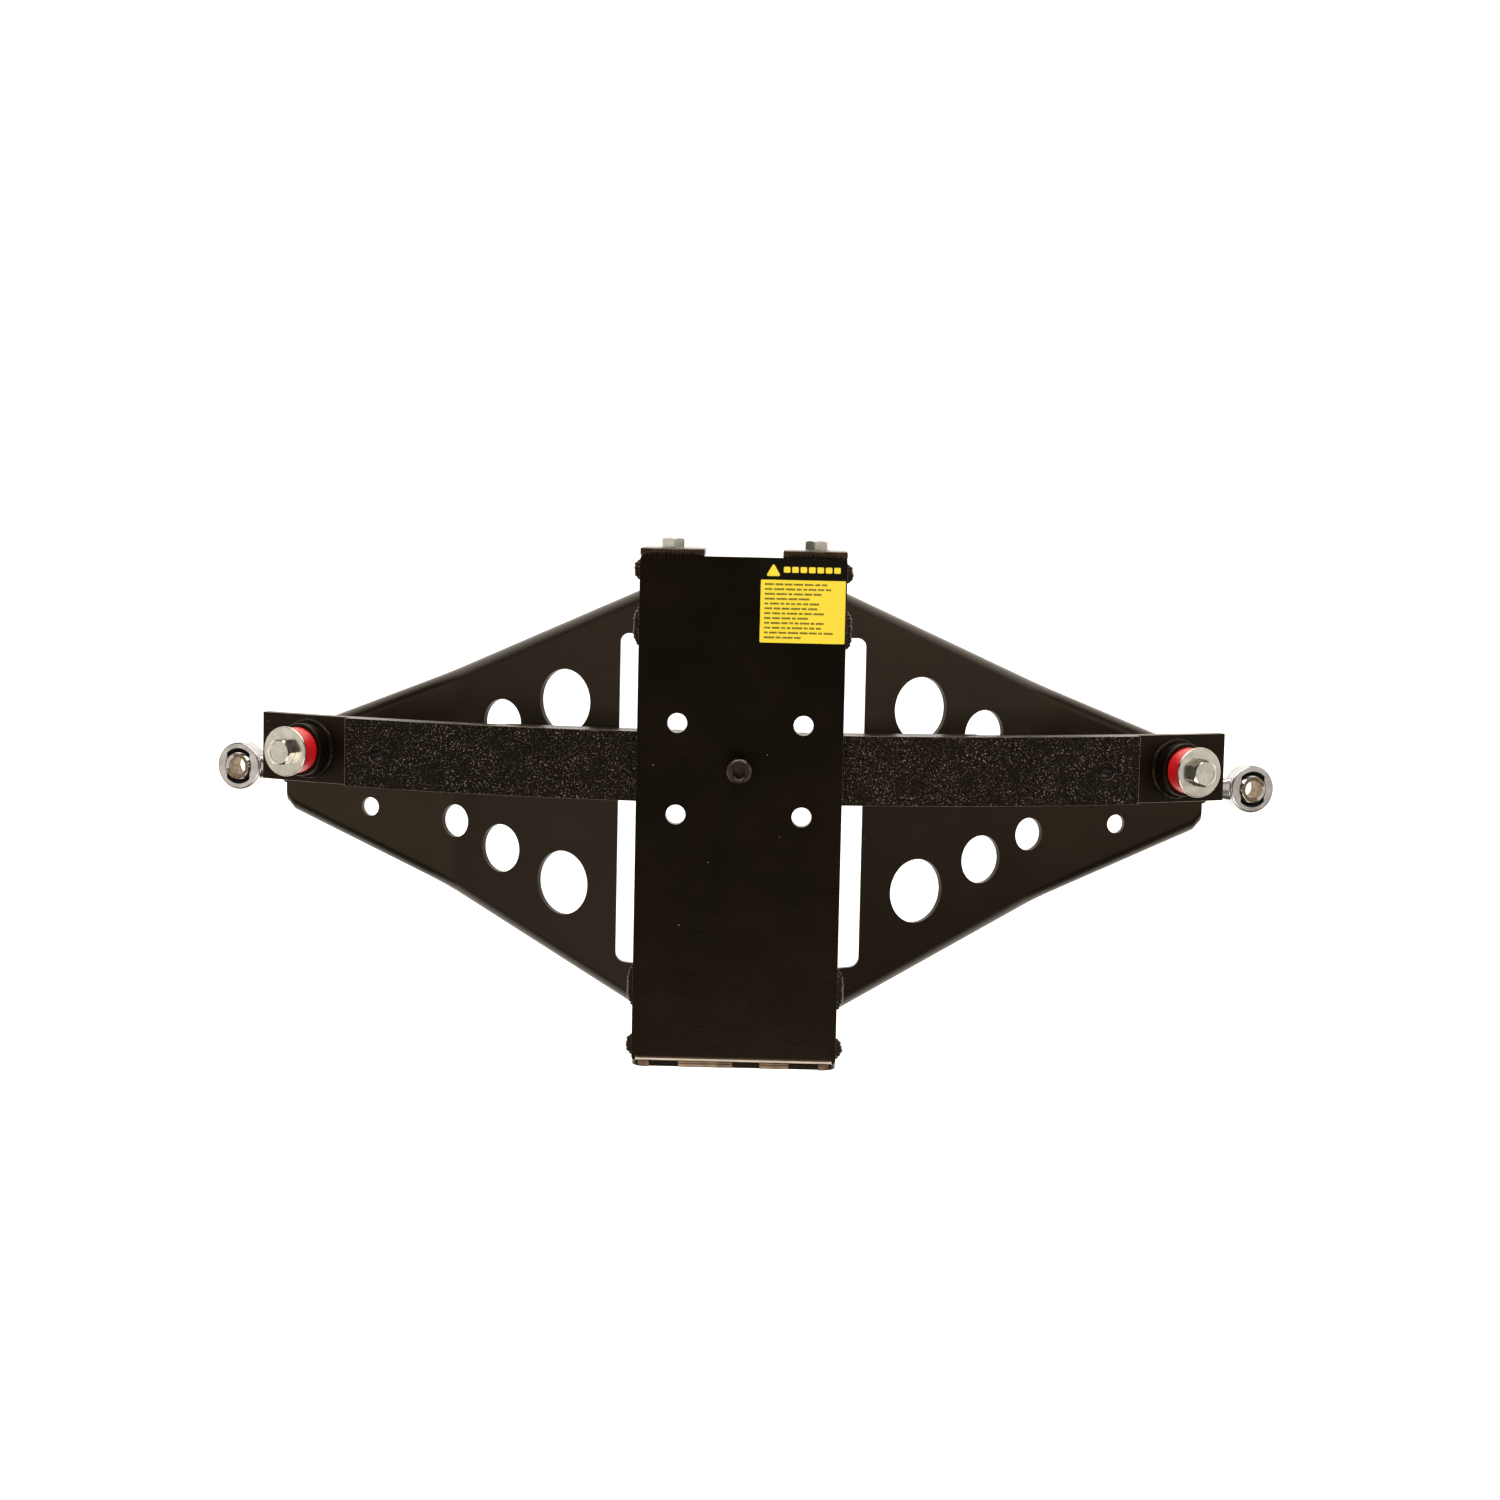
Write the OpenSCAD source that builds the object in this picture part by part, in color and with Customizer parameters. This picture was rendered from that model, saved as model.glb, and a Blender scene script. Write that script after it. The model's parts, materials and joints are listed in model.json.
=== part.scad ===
// Front suspension unit of a light vehicle: a hinge bracket that bolts to the frame, a leaf spring
// that lies across under it and two pressed A-arms with rod ends.
// Millimetres. +Z is up, +Y is the vehicle's front and +X its right side.
// The origin is the centre of the four frame bolt holes, on the top face of the top plate.

/* [Top plate] */
// Width of the top plate, across the vehicle
plate_w = 130; // [118:1:160]
// Length of the top plate, along the vehicle
plate_l = 321; // [300:1:390]
// Thickness of the top plate
plate_t = 8; // [5:0.5:12]
// Corner radius of the top plate
plate_r = 3; // [1:0.5:10]
// Distance from the bolt pattern's centre to the front edge
plate_front = 134; // [126:1:170]

/* [Frame bolts] */
// Hole spacing across the vehicle
frame_dx = 79.5; // [60:0.5:96]
// Hole spacing along the vehicle
frame_dy = 58; // [58:0.5:80]
// Diameter of the frame bolt holes
frame_d = 12.5; // [8.5:0.5:13]

/* [Hinges] */
// Distance of each hinge axis from the middle
pivot_x = 46; // [40:1:50]
// Depth of the hinge axes below the top face
pivot_drop = 28; // [24:1:36]
// Setback of the arms' centre line behind the bolt pattern
arm_back = 24.5; // [18:0.5:28]
// Half distance between the two inner hinge plates' outer faces
hinge_inner = 101; // [92:1:104]
// Half distance to the rear outer hinge plate, to its inner face
hinge_outer = 148; // [140:1:152]
// Thickness of the hinge plates
hinge_t = 4.5; // [3:0.5:6]
// Depth of the hinge plates below the top plate
hinge_h = 43; // [40:1:60]
// Diameter of the hinge bolts
pivot_bolt_d = 9.5; // [8:0.1:11.5]
// Outer diameter of the hinge sleeves
pivot_sleeve_d = 12.7; // [12.5:0.1:14]
// Outer diameter of the hinge tubes
pivot_tube_d = 25.4; // [23:0.1:30]
// Wall of the hinge tubes
pivot_tube_wall = 3.2; // [2.5:0.1:4.5]
// Thickness of the hinge bushings' flanges
pivot_flange_t = 3; // [2:0.5:4]

/* [Bracket details] */
// Width of a front tab
tab_w = 40.5; // [32:0.5:50]
// Thickness of the rear end plate
end_t = 4; // [3:0.5:6]
// Width of the two outer notches in the rear end plate's top edge
notch_w = 18.6; // [14:0.2:24]
// Distance of the two outer notches from the middle
notch_x = 44.5; // [40:0.5:46]
// Depth of the notches
notch_h = 2; // [1:0.5:8]
// Depth of the gussets
gusset_h = 12; // [8:1:16]
// Thickness of the gussets
gusset_t = 5; // [3:0.5:6]
// Radius of the weld beads
weld_r = 4.5; // [2:0.5:6]
// Width of the caution label
label_w = 54; // [30:1:56]
// Length of the caution label
label_l = 53; // [30:1:56]

/* [Leaf spring] */
// Width of every leaf
leaf_w = 44.5; // [36:0.5:44.5]
// Thickness of a leaf
leaf_t = 7; // [5:0.5:8]
// Radius of the main leaf's top face
leaf_radius = 675; // [600:5:820]
// Angle of the main leaf from its middle to its end
main_angle = 28.2; // [27.6:0.1:29.5]
// Angle of the upper leaf from its middle to its end
upper_angle = 22.3; // [18:0.1:22.6]
// Angle of the third leaf from its middle to its end
third_angle = 13.2; // [9:0.1:14]
// Angle of the rivets
rivet_angle = 20.3; // [16:0.1:20.5]
// Outer diameter of the rivets
rivet_d = 12; // [8:0.5:14]
// Bore of the rivets
rivet_bore = 8.5; // [5:0.5:9]
// Diameter of the centre screw
centre_d = 10; // [8:0.5:12]
// Length of the keeper plate
keeper_l = 70; // [50:1:90]
// Thickness of the keeper plate
keeper_t = 6; // [4:0.5:8]

/* [Spring ends] */
// Angle of the steering bolts' axes
boss_angle = 25; // [24.5:0.1:25.6]
// Outer diameter of the boss rings
boss_d = 34.5; // [31:0.5:40]
// Bore of the boss rings
boss_bore = 22; // [20:0.5:24]
// Height of the upper boss ring
boss_h = 12; // [8:0.5:16]
// Height of the lower boss ring
low_boss_h = 8; // [6:0.5:12]
// Diameter of the red bushings' flanges
bush_d = 30; // [27:0.5:33]
// Thickness of the upper bushing's flange
bush_t = 13.4; // [8:0.2:16]
// Thickness of the lower bushing's flange
low_bush_t = 6; // [4:0.5:8]
// Outer diameter of the steel sleeve
king_sleeve_d = 14; // [13:0.5:16]
// Diameter of the steering bolts
king_d = 11.1; // [9:0.1:11.5]
// Diameter of the washers
king_washer_d = 32.5; // [29:0.5:36]
// Thickness of the washers
king_washer_t = 2; // [1.5:0.1:3]

/* [Arms] */
// Slope of an arm's inner part
slope_in = 34; // [28:0.5:36]
// Slope of an arm's outer part
slope_out = 19; // [14:0.5:24]
// Distance along the arm from the hinge axis to the bend
bend_s = 186; // [184:1:200]
// Distance along the arm from the hinge axis to the tip
arm_s = 308.5; // [296:0.5:330]
// Thickness of the arm plate
arm_t = 3.5; // [2.5:0.1:4.5]
// Half width of an arm plate at its tip
arm_tip_w = 27; // [24:0.5:34]
// Widening of an arm plate's edge for each millimetre towards the hinge
arm_taper = 0.385; // [0.33:0.005:0.4]
// Depth of the turned-down edges
lip_h = 20; // [12:1:26]
// Distance along the arm from the hinge axis to the slot's far edge
slot_s = 40; // [34:1:44]
// Half length of the slot between the ears
slot_half = 107; // [105.5:0.5:112]
// Diameters of the lightening holes, from the hinge to the tip
hole_d = [42, 32, 22, 12.7];
// Places of the lightening holes along the arm
hole_s = [84, 137, 177, 243.5];
// Half spacings of the lightening holes
hole_w = [60, 42, 27, 21.5];

/* [Rod ends] */
// Distance along the arm from the hinge axis to the ball
ball_s = 351; // [346:0.5:365]
// Diameter of the ball
ball_d = 23.8; // [22:0.1:24.2]
// Width of the ball
ball_w = 15.9; // [13:0.1:16.5]
// Bore of the ball
ball_bore = 12.7; // [9:0.1:13.2]
// Diameter of the rod end's head
head_d = 33.3; // [32:0.1:38]
// Thickness of the rod end's head
head_t = 12; // [11:0.5:14]
// Diameter of the threaded shank
shank_d = 12.7; // [10:0.1:13.2]
// Outer diameter of the bung
bung_d = 20; // [18:0.5:24]
// Length of the bung
bung_l = 40; // [30:1:45]

/* [Clearances] */
// Radial clearance of a turning fit
running = 0.05; // [0.01:0.01:0.1]
// End clearance of a turning piece
play = 0.25; // [0.1:0.05:0.5]
// Radial clearance of a bolt in its hole
bolt_gap = 0.2; // [0.1:0.05:0.5]
// Radial clearance of the ball in its race
race_gap = 0.25; // [0.1:0.05:0.3]

/* [Hidden] */
$fn = 96;

// Larger than the whole unit, for cuts that run right through
far = 900;
// Cuts run this far past a face
cut = 1;

// Bracket stations along Y
plate_rear = plate_front - plate_l;
front_in_y = hinge_inner - arm_back;
rear_in_y = -hinge_inner - arm_back;
rear_out_y = -hinge_outer - arm_back;
front_gap = plate_front - front_in_y;
rear_gap = rear_in_y - rear_out_y;
pivot_z = -pivot_drop;
// The tabs stop this far below the top face
tab_step = 1;
plate_corner_r = 12;
end_corner_r = 10;
centre_notch_w = 17;
centre_notch_x = 8;
label_t = 0.3;
label_margin = 0.5;
// Each hinge's two weld beads take these parts of the way from its inner to its outer plate
weld_stretches = [[-0.02, 0.48], [0.7, 1]];
weld_z = -5;

// Hinge bolts and nuts
pivot_hex = 14.3;
pivot_head_h = 6.2;
pivot_nut_h = 8.3;
pivot_washer_d = 20;
pivot_washer_t = 1.8;
pivot_flange_d = pivot_tube_d - 0.4;
bolt_out = 2;

// Centre screw
centre_head_d = 1.6 * centre_d;
centre_socket = 0.8 * centre_d;
centre_nut_h = 0.8 * centre_d;
centre_nut_hex = 1.7 * centre_d;
centre_washer_d = 2.1 * centre_d;
centre_washer_t = 2;

// Leaf radii
leaf_axis_z = -plate_t - leaf_t - leaf_radius;
upper_r = leaf_radius + leaf_t;
third_r = leaf_radius - leaf_t;
stack_r = leaf_radius - 2 * leaf_t;
keeper_top_z = leaf_axis_z + stack_r;

// Heights along a steering bolt's axis, from the main leaf's top face
leaf_sag = pow(boss_d / 2, 2) / (2 * (leaf_radius - leaf_t));
low_boss_top = -leaf_t - leaf_sag;
low_boss_end = low_boss_top - low_boss_h;
bush_top = boss_h + bush_t;
bush_end = low_boss_end - low_bush_t;
king_head_z = bush_top + play + king_washer_t;
king_nut_top = bush_end - play - king_washer_t;
king_hex = 15.9;
king_head_h = 7;
king_nut_h = 9;
king_barrel = 8;

// Arms
ear_w = 140;
lip_s = 22;
slot_r = 6;
tip_chamfer = 6;
bung_drop = arm_t / 2 + bung_d / 2;
jam_hex = 19;
jam_h = 8;
race_h = 8;
race_d = ball_d + 3.2;
lip_d = ball_d - 0.4;
neck_d = 18;

function half_w(s) = min(ear_w, arm_tip_w + (arm_s - 4.5 - s) * arm_taper);
function arm_x(s) = pivot_x + min(s, bend_s) * cos(slope_in) + max(0, s - bend_s) * cos(slope_out);
function arm_z(s) = pivot_z - min(s, bend_s) * sin(slope_in) - max(0, s - bend_s) * sin(slope_out);
function slope_at(s) = s > bend_s ? slope_out : slope_in;
// The arm's bent centre line, moved by d along its normal
function arm_line(d) = [
    [pivot_x + d * sin(slope_in), pivot_z + d * cos(slope_in)],
    [arm_x(bend_s), arm_z(bend_s)] + d / cos((slope_in - slope_out) / 2)
        * [sin((slope_in + slope_out) / 2), cos((slope_in + slope_out) / 2)],
    [arm_x(arm_s) + d * sin(slope_out), arm_z(arm_s) + d * cos(slope_out)]
];
function reversed(v) = [for (i = [len(v) - 1:-1:0]) v[i]];

// ---------------------------------------------------------------- shared shapes

// Its children and their mirror image
module both_sides() {
    children();
    mirror([1, 0, 0]) children();
}

// Its children on the left side, drawn as for the right one
module left_side() {
    mirror([1, 0, 0]) children();
}

// A rectangle with its lowest corner at the origin and round corners of radius r
module rounded_rect(w, h, r) {
    translate([r, 0]) square([w - 2 * r, h]);
    translate([0, r]) square([w, h - 2 * r]);
    for (x = [r, w - r], y = [r, h - r])
        translate([x, y]) circle(r);
}

// A plate that stands across the vehicle, from x0 to x1 and down from z1 by h, with its lower
// corners round; its front face is at y
module cross_plate(x0, x1, z1, h, y, t, r) {
    translate([x0, y, z1 - h]) rotate([90, 0, 0]) linear_extrude(t)
        difference() {
            rounded_rect(x1 - x0, h + r, r);
            translate([-cut, h]) square([x1 - x0 + 2 * cut, r + cut]);
        }
}

// A bolt hole along Y at each hinge axis
module hinge_holes() {
    for (x = [-pivot_x, pivot_x])
        translate([x, 0, pivot_z]) rotate([90, 0, 0])
            cylinder(d = pivot_bolt_d + 2 * bolt_gap, h = far, center = true);
}

// A hexagon prism with its corners turned off at the top, and at the bottom where both is true
module hex_prism(across, h, both = false) {
    intersection() {
        cylinder(d = across / cos(30), h = h, $fn = 6);
        union() {
            translate([0, 0, h / 2]) cylinder(d1 = across * 1.3, d2 = across * 0.96, h = h / 2);
            if (both)
                cylinder(d1 = across * 0.96, d2 = across * 1.3, h = h / 2);
            else
                cylinder(d = across * 1.3, h = h / 2);
        }
    }
}

// A bolt with its head on Z = 0 and its shank down
module hex_bolt(d, length, across, head_h) {
    hex_prism(across, head_h);
    translate([0, 0, -length]) cylinder(d = d, h = length);
}

// A nut from Z = 0 up
module hex_nut(d, across, h) {
    difference() {
        hex_prism(across, h, true);
        translate([0, 0, -cut]) cylinder(d = d, h = h + 2 * cut);
    }
}

// A round tube from Z = 0 up
module tube(outer, inner, h) {
    difference() {
        cylinder(d = outer, h = h);
        translate([0, 0, -cut]) cylinder(d = inner, h = h + 2 * cut);
    }
}

// Its children on a hinge axis, with their Z towards the front and their origin at y
module on_hinge(y) {
    translate([pivot_x, y, pivot_z]) rotate([-90, 0, 0]) children();
}

// ---------------------------------------------------------------- bracket

module top_plate() {
    color("#2a2622") difference() {
        translate([-plate_w / 2, plate_rear, -plate_t]) linear_extrude(plate_t)
            rounded_rect(plate_w, plate_l, plate_r);
        for (x = [-1, 1], y = [-1, 1])
            translate([x * frame_dx / 2, y * frame_dy / 2, -plate_t - cut])
                cylinder(d = frame_d, h = plate_t + 2 * cut);
        translate([0, 0, -plate_t - cut])
            cylinder(d = centre_d + 2 * bolt_gap, h = plate_t + 2 * cut);
    }
}

module tab() {
    difference() {
        cross_plate(plate_w / 2 - tab_w, plate_w / 2, -tab_step, hinge_h + plate_t - tab_step,
            plate_front + hinge_t, hinge_t, plate_corner_r);
        hinge_holes();
    }
}

module front_left_tab() {
    color("#2d2925") left_side() tab();
}

module front_right_tab() {
    color("#2d2925") tab();
}

// A hinge plate as wide as the top plate, with its front face at y
module hinge_plate(y) {
    difference() {
        cross_plate(-plate_w / 2, plate_w / 2, -plate_t, hinge_h, y, hinge_t, plate_corner_r);
        hinge_holes();
    }
}

module front_inner_plate() {
    color("#2d2925") hinge_plate(front_in_y);
}

module rear_inner_plate() {
    color("#2d2925") hinge_plate(rear_in_y + hinge_t);
}

module rear_outer_plate() {
    color("#2d2925") hinge_plate(rear_out_y);
}

module rear_end_plate() {
    h = hinge_h + plate_t - tab_step;
    color("#2d2925") difference() {
        translate([-plate_w / 2, plate_rear, -tab_step - h]) rotate([90, 0, 0])
            linear_extrude(end_t) rounded_rect(plate_w, h, end_corner_r);
        for (notch = [[-notch_x, notch_w], [centre_notch_x, centre_notch_w], [notch_x, notch_w]])
            translate([notch[0] - notch[1] / 2, plate_rear - end_t - cut, -tab_step - notch_h])
                cube([notch[1], end_t + 2 * cut, far]);
    }
}

// A strip under each long edge of the top plate, from y0 to y1
module gusset(y0, y1) {
    both_sides()
        translate([plate_w / 2 - gusset_t, y0, -plate_t - gusset_h])
            cube([gusset_t, y1 - y0, gusset_h]);
}

module front_gussets() {
    color("#2d2925") gusset(front_in_y, plate_front);
}

module rear_gussets() {
    color("#2d2925") gusset(rear_out_y, rear_in_y);
}

// Half-round beads on the long edges of the top plate, with round ends
module weld_bead(y0, y1) {
    start = [for (a = [0:15:90]) weld_r * [sin(a), 1 - cos(a)]];
    both_sides()
        translate([plate_w / 2, y0, weld_z]) rotate([-90, 0, 0]) rotate([0, 0, -90])
            rotate_extrude(angle = 180)
                polygon(concat(start, reversed([for (p = start) [p[0], y1 - y0 - p[1]]])));
}

module bracket_welds() {
    color("#1f1c1a") for (part = weld_stretches) {
        weld_bead(front_in_y + part[0] * front_gap, front_in_y + part[1] * front_gap - cut);
        weld_bead(rear_in_y - part[1] * (rear_in_y - plate_rear) + cut,
            rear_in_y - part[0] * (rear_in_y - plate_rear));
    }
}

module caution_label() {
    color("#e8c418")
        translate([plate_w / 2 - label_margin - label_w, plate_front - label_margin - label_l, 0])
            linear_extrude(label_t) rounded_rect(label_w, label_l, 1);
}

// ---------------------------------------------------------------- leaf spring

// Its children at an angle along the spring, with their Z out along the leaf's normal and their
// origin at radius r
module at_leaf(angle, r) {
    translate([0, 0, leaf_axis_z]) rotate([0, angle, 0]) translate([0, 0, r]) children();
}

// A leaf whose top face has radius r, out to an angle on both sides
module leaf(r, angle) {
    translate([0, 0, leaf_axis_z]) rotate([90, 0, 0]) rotate([0, 0, 90 - angle])
        rotate_extrude(angle = 2 * angle, $fn = 360)
            translate([r - leaf_t, -leaf_w / 2]) square([leaf_t, leaf_w]);
}

module centre_hole() {
    translate([0, 0, -far / 2]) cylinder(d = centre_d + 2 * bolt_gap, h = far);
}

module rivet_holes() {
    both_sides() at_leaf(rivet_angle, leaf_radius - 2 * leaf_t)
        cylinder(d = rivet_d, h = 4 * leaf_t);
}

module upper_leaf() {
    color("#171514") difference() {
        leaf(upper_r, upper_angle);
        centre_hole();
        rivet_holes();
    }
}

module main_leaf() {
    color("#22201e") difference() {
        leaf(leaf_radius, main_angle);
        centre_hole();
        rivet_holes();
        both_sides() at_leaf(boss_angle, leaf_radius - 2 * leaf_t)
            cylinder(d = boss_bore, h = 4 * leaf_t);
    }
}

module third_leaf() {
    color("#1c1a18") difference() {
        leaf(third_r, third_angle);
        centre_hole();
    }
}

module spring_keeper() {
    color("#2d2925") difference() {
        translate([-keeper_l / 2, -leaf_w / 2, keeper_top_z - keeper_t])
            cube([keeper_l, leaf_w, keeper_t]);
        translate([0, 0, leaf_axis_z]) rotate([90, 0, 0])
            difference() {
                cylinder(r = stack_r + keeper_t, h = leaf_w + 2 * cut, center = true, $fn = 360);
                cylinder(r = stack_r, h = leaf_w + 4 * cut, center = true, $fn = 360);
            }
        centre_hole();
    }
}

module centre_screw() {
    color("#3a3a3c") difference() {
        union() {
            cylinder(d = centre_head_d, h = centre_d - 1);
            translate([0, 0, centre_d - 1])
                cylinder(d1 = centre_head_d, d2 = centre_head_d - 2, h = 1);
            mirror([0, 0, 1]) cylinder(d = centre_d,
                h = keeper_t - keeper_top_z + centre_washer_t + centre_nut_h + bolt_out);
        }
        translate([0, 0, centre_d / 2])
            cylinder(d = centre_socket / cos(30), h = centre_d, $fn = 6);
    }
}

module centre_nut() {
    color("#8c8c88") translate([0, 0, keeper_top_z - keeper_t - centre_washer_t]) {
        tube(centre_washer_d, centre_d, centre_washer_t);
        translate([0, 0, -centre_nut_h]) hex_nut(centre_d, centre_nut_hex, centre_nut_h);
    }
}

module spring_rivets() {
    color("#2a2a2a") both_sides() at_leaf(rivet_angle, third_r)
        tube(rivet_d, rivet_bore, 2 * leaf_t);
}

// ---------------------------------------------------------------- spring ends

// Its children on the right steering bolt's axis, from the main leaf's top face
module at_king() {
    at_leaf(boss_angle, leaf_radius) children();
}

module upper_boss() {
    color("#1d1b19") at_king() tube(boss_d, boss_bore, boss_h);
}

module lower_boss() {
    color("#1d1b19") at_king() translate([0, 0, low_boss_end])
        tube(boss_d, boss_bore, low_boss_h);
}

// A bushing whose flange stands on Z = 0 and whose barrel hangs down from it
module king_bushing(flange_t, barrel) {
    color("#d8232c") difference() {
        union() {
            cylinder(d = bush_d, h = flange_t);
            translate([0, 0, -barrel]) cylinder(d = boss_bore, h = barrel);
        }
        translate([0, 0, -barrel - cut])
            cylinder(d = king_sleeve_d + 2 * running, h = barrel + flange_t + 2 * cut);
    }
}

module upper_bushing() {
    at_king() translate([0, 0, boss_h]) king_bushing(bush_t, boss_h);
}

module lower_bushing() {
    at_king() translate([0, 0, low_boss_end]) mirror([0, 0, 1])
        king_bushing(low_bush_t, king_barrel);
}

module king_bolt() {
    color("#d9d7c8") at_king() translate([0, 0, king_head_z])
        hex_bolt(king_d, king_head_z - king_nut_top + king_nut_h + bolt_out, king_hex, king_head_h);
}

module king_washers() {
    color("#e2e0d2") at_king()
        for (z = [king_head_z - king_washer_t, king_nut_top])
            translate([0, 0, z]) tube(king_washer_d, king_d, king_washer_t);
}

module king_sleeve() {
    color("#b9b9b4") at_king() translate([0, 0, bush_end - play])
        tube(king_sleeve_d, king_d, bush_top - bush_end + 2 * play);
}

module king_nut() {
    color("#d0cebf") at_king() translate([0, 0, king_nut_top - king_nut_h])
        hex_nut(king_d, king_hex, king_nut_h);
}

module left_upper_boss() { left_side() upper_boss(); }
module right_upper_boss() { upper_boss(); }
module left_lower_boss() { left_side() lower_boss(); }
module right_lower_boss() { lower_boss(); }
module left_upper_bushing() { left_side() upper_bushing(); }
module right_upper_bushing() { upper_bushing(); }
module left_lower_bushing() { left_side() lower_bushing(); }
module right_lower_bushing() { lower_bushing(); }
module left_king_bolt() { left_side() king_bolt(); }
module right_king_bolt() { king_bolt(); }
module left_king_washers() { left_side() king_washers(); }
module right_king_washers() { king_washers(); }
module left_king_sleeve() { left_side() king_sleeve(); }
module right_king_sleeve() { king_sleeve(); }
module left_king_nut() { left_side() king_nut(); }
module right_king_nut() { king_nut(); }

// ---------------------------------------------------------------- hinge hardware

// From the bolt's head, through both plates, a washer and a nut
module front_hinge_bolts() {
    grip = front_gap + 2 * hinge_t + pivot_washer_t + pivot_nut_h + bolt_out;
    color("#cfcdbd") both_sides() on_hinge(plate_front + hinge_t)
        hex_bolt(pivot_bolt_d, grip, pivot_hex, pivot_head_h);
}

module rear_hinge_bolts() {
    grip = rear_gap + 2 * hinge_t + pivot_washer_t + pivot_nut_h + bolt_out;
    color("#cfcdbd") both_sides() on_hinge(rear_out_y - hinge_t) mirror([0, 0, 1])
        hex_bolt(pivot_bolt_d, grip, pivot_hex, pivot_head_h);
}

module hinge_nuts() {
    color("#c4c2b4") both_sides() {
        on_hinge(front_in_y - hinge_t - pivot_washer_t - pivot_nut_h)
            hex_nut(pivot_bolt_d, pivot_hex, pivot_nut_h);
        on_hinge(rear_in_y + hinge_t + pivot_washer_t)
            hex_nut(pivot_bolt_d, pivot_hex, pivot_nut_h);
    }
}

module hinge_washers() {
    color("#c9c7ba") both_sides()
        for (y = [front_in_y - hinge_t - pivot_washer_t, rear_in_y + hinge_t])
            on_hinge(y) tube(pivot_washer_d, pivot_bolt_d, pivot_washer_t);
}

module hinge_sleeves() {
    color("#b9b9b4") both_sides() {
        on_hinge(front_in_y) tube(pivot_sleeve_d, pivot_bolt_d, front_gap);
        on_hinge(rear_out_y) tube(pivot_sleeve_d, pivot_bolt_d, rear_gap);
    }
}

// ---------------------------------------------------------------- arms

// Its children on the right arm's plate, with their X along the arm and their Z out of the plate
module at_arm(s, w) {
    translate([arm_x(s), w - arm_back, arm_z(s)]) rotate([0, slope_at(s), 0]) children();
}

// The arm's outline from above, drawn in by an inset and grown by a margin at both ends
module arm_plan(s0, inset, margin) {
    tip_s = arm_s - tip_chamfer;
    side = [
        [arm_x(s0) - margin, half_w(s0) - inset],
        [arm_x(bend_s), half_w(bend_s) - inset],
        [arm_x(tip_s), half_w(tip_s) - inset],
        [arm_x(arm_s) + cut + margin, half_w(tip_s) - tip_chamfer - inset]
    ];
    translate([0, -arm_back])
        polygon(concat(side, reversed([for (p = side) [p[0], -p[1]]])));
}

// A shape in the arm's side view, made into a solid across the whole arm
module arm_side(points) {
    translate([0, far / 2, 0]) rotate([90, 0, 0]) linear_extrude(far) polygon(points);
}

module arm_web() {
    intersection() {
        arm_side(concat(arm_line(arm_t / 2), reversed(arm_line(-arm_t / 2))));
        translate([0, 0, -far]) linear_extrude(2 * far) arm_plan(0, 0, cut);
    }
}

module arm_lips() {
    intersection() {
        arm_side(concat(arm_line(arm_t / 2),
            reversed([for (p = arm_line(arm_t / 2)) p - [0, lip_h]])));
        translate([0, 0, -far]) linear_extrude(2 * far) difference() {
            arm_plan(lip_s, 0, 0);
            arm_plan(lip_s, arm_t, 2 * cut);
        }
    }
}

module arm_slot() {
    w = arm_x(slot_s);
    translate([0, -arm_back - slot_half, -far]) linear_extrude(2 * far)
        rounded_rect(w, 2 * slot_half, slot_r);
}

module arm_plate() {
    color("#26221f") difference() {
        union() {
            arm_web();
            arm_lips();
        }
        arm_slot();
        translate([pivot_x, 0, pivot_z]) rotate([90, 0, 0])
            cylinder(d = pivot_tube_d, h = far, center = true);
        for (i = [0:len(hole_d) - 1], side = [-1, 1])
            at_arm(hole_s[i], side * hole_w[i])
                cylinder(d = hole_d[i], h = 3 * arm_t, center = true);
    }
}

// Length of a hinge tube that fills a gap between two hinge plates
function tube_l(gap) = gap - 2 * (pivot_flange_t + play);

module hinge_tube(y, gap) {
    color("#211f1d") on_hinge(y + pivot_flange_t + play)
        tube(pivot_tube_d, pivot_tube_d - 2 * pivot_tube_wall, tube_l(gap));
}

// Two flanged halves, one pressed into each end of a hinge tube
module hinge_bushing(y, gap) {
    half = tube_l(gap) / 2 - cut;
    color("#c4242b") on_hinge(y + gap / 2)
        for (end = [0, 1])
            mirror([0, 0, end]) translate([0, 0, tube_l(gap) / 2]) difference() {
                union() {
                    cylinder(d = pivot_flange_d, h = pivot_flange_t);
                    translate([0, 0, -half])
                        cylinder(d = pivot_tube_d - 2 * pivot_tube_wall, h = half);
                }
                translate([0, 0, -half - cut]) cylinder(d = pivot_sleeve_d + 2 * running,
                    h = half + pivot_flange_t + 2 * cut);
            }
}

// Its children on the rod end's axis, with their X outwards along it
module at_rod(s) {
    at_arm(s, 0) translate([0, 0, -bung_drop]) children();
}

module bung() {
    color("#211f1d") at_rod(arm_s - bung_l) rotate([0, 90, 0]) tube(bung_d, shank_d, bung_l);
}

module jam_nut() {
    color("#c8c6b8") at_rod(arm_s) rotate([0, 90, 0]) hex_nut(shank_d, jam_hex, jam_h);
}

module rod_end() {
    neck = ball_s - arm_s - jam_h;
    color("#b4b4b2") at_rod(ball_s) difference() {
        union() {
            cylinder(d = head_d, h = head_t, center = true);
            intersection() {
                rotate([0, -90, 0]) cylinder(d1 = neck_d + 6, d2 = shank_d, h = neck - cut);
                cube([far, far, head_t], center = true);
            }
            rotate([0, -90, 0]) cylinder(d = shank_d, h = neck + jam_h + bung_l * 0.75);
        }
        cylinder(d = lip_d, h = 2 * head_t, center = true);
        cylinder(d = race_d, h = race_h, center = true);
    }
}

module race() {
    color("#1c1c1e") at_rod(ball_s) difference() {
        cylinder(d = race_d, h = race_h, center = true);
        sphere(d = ball_d + 2 * race_gap);
    }
}

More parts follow.
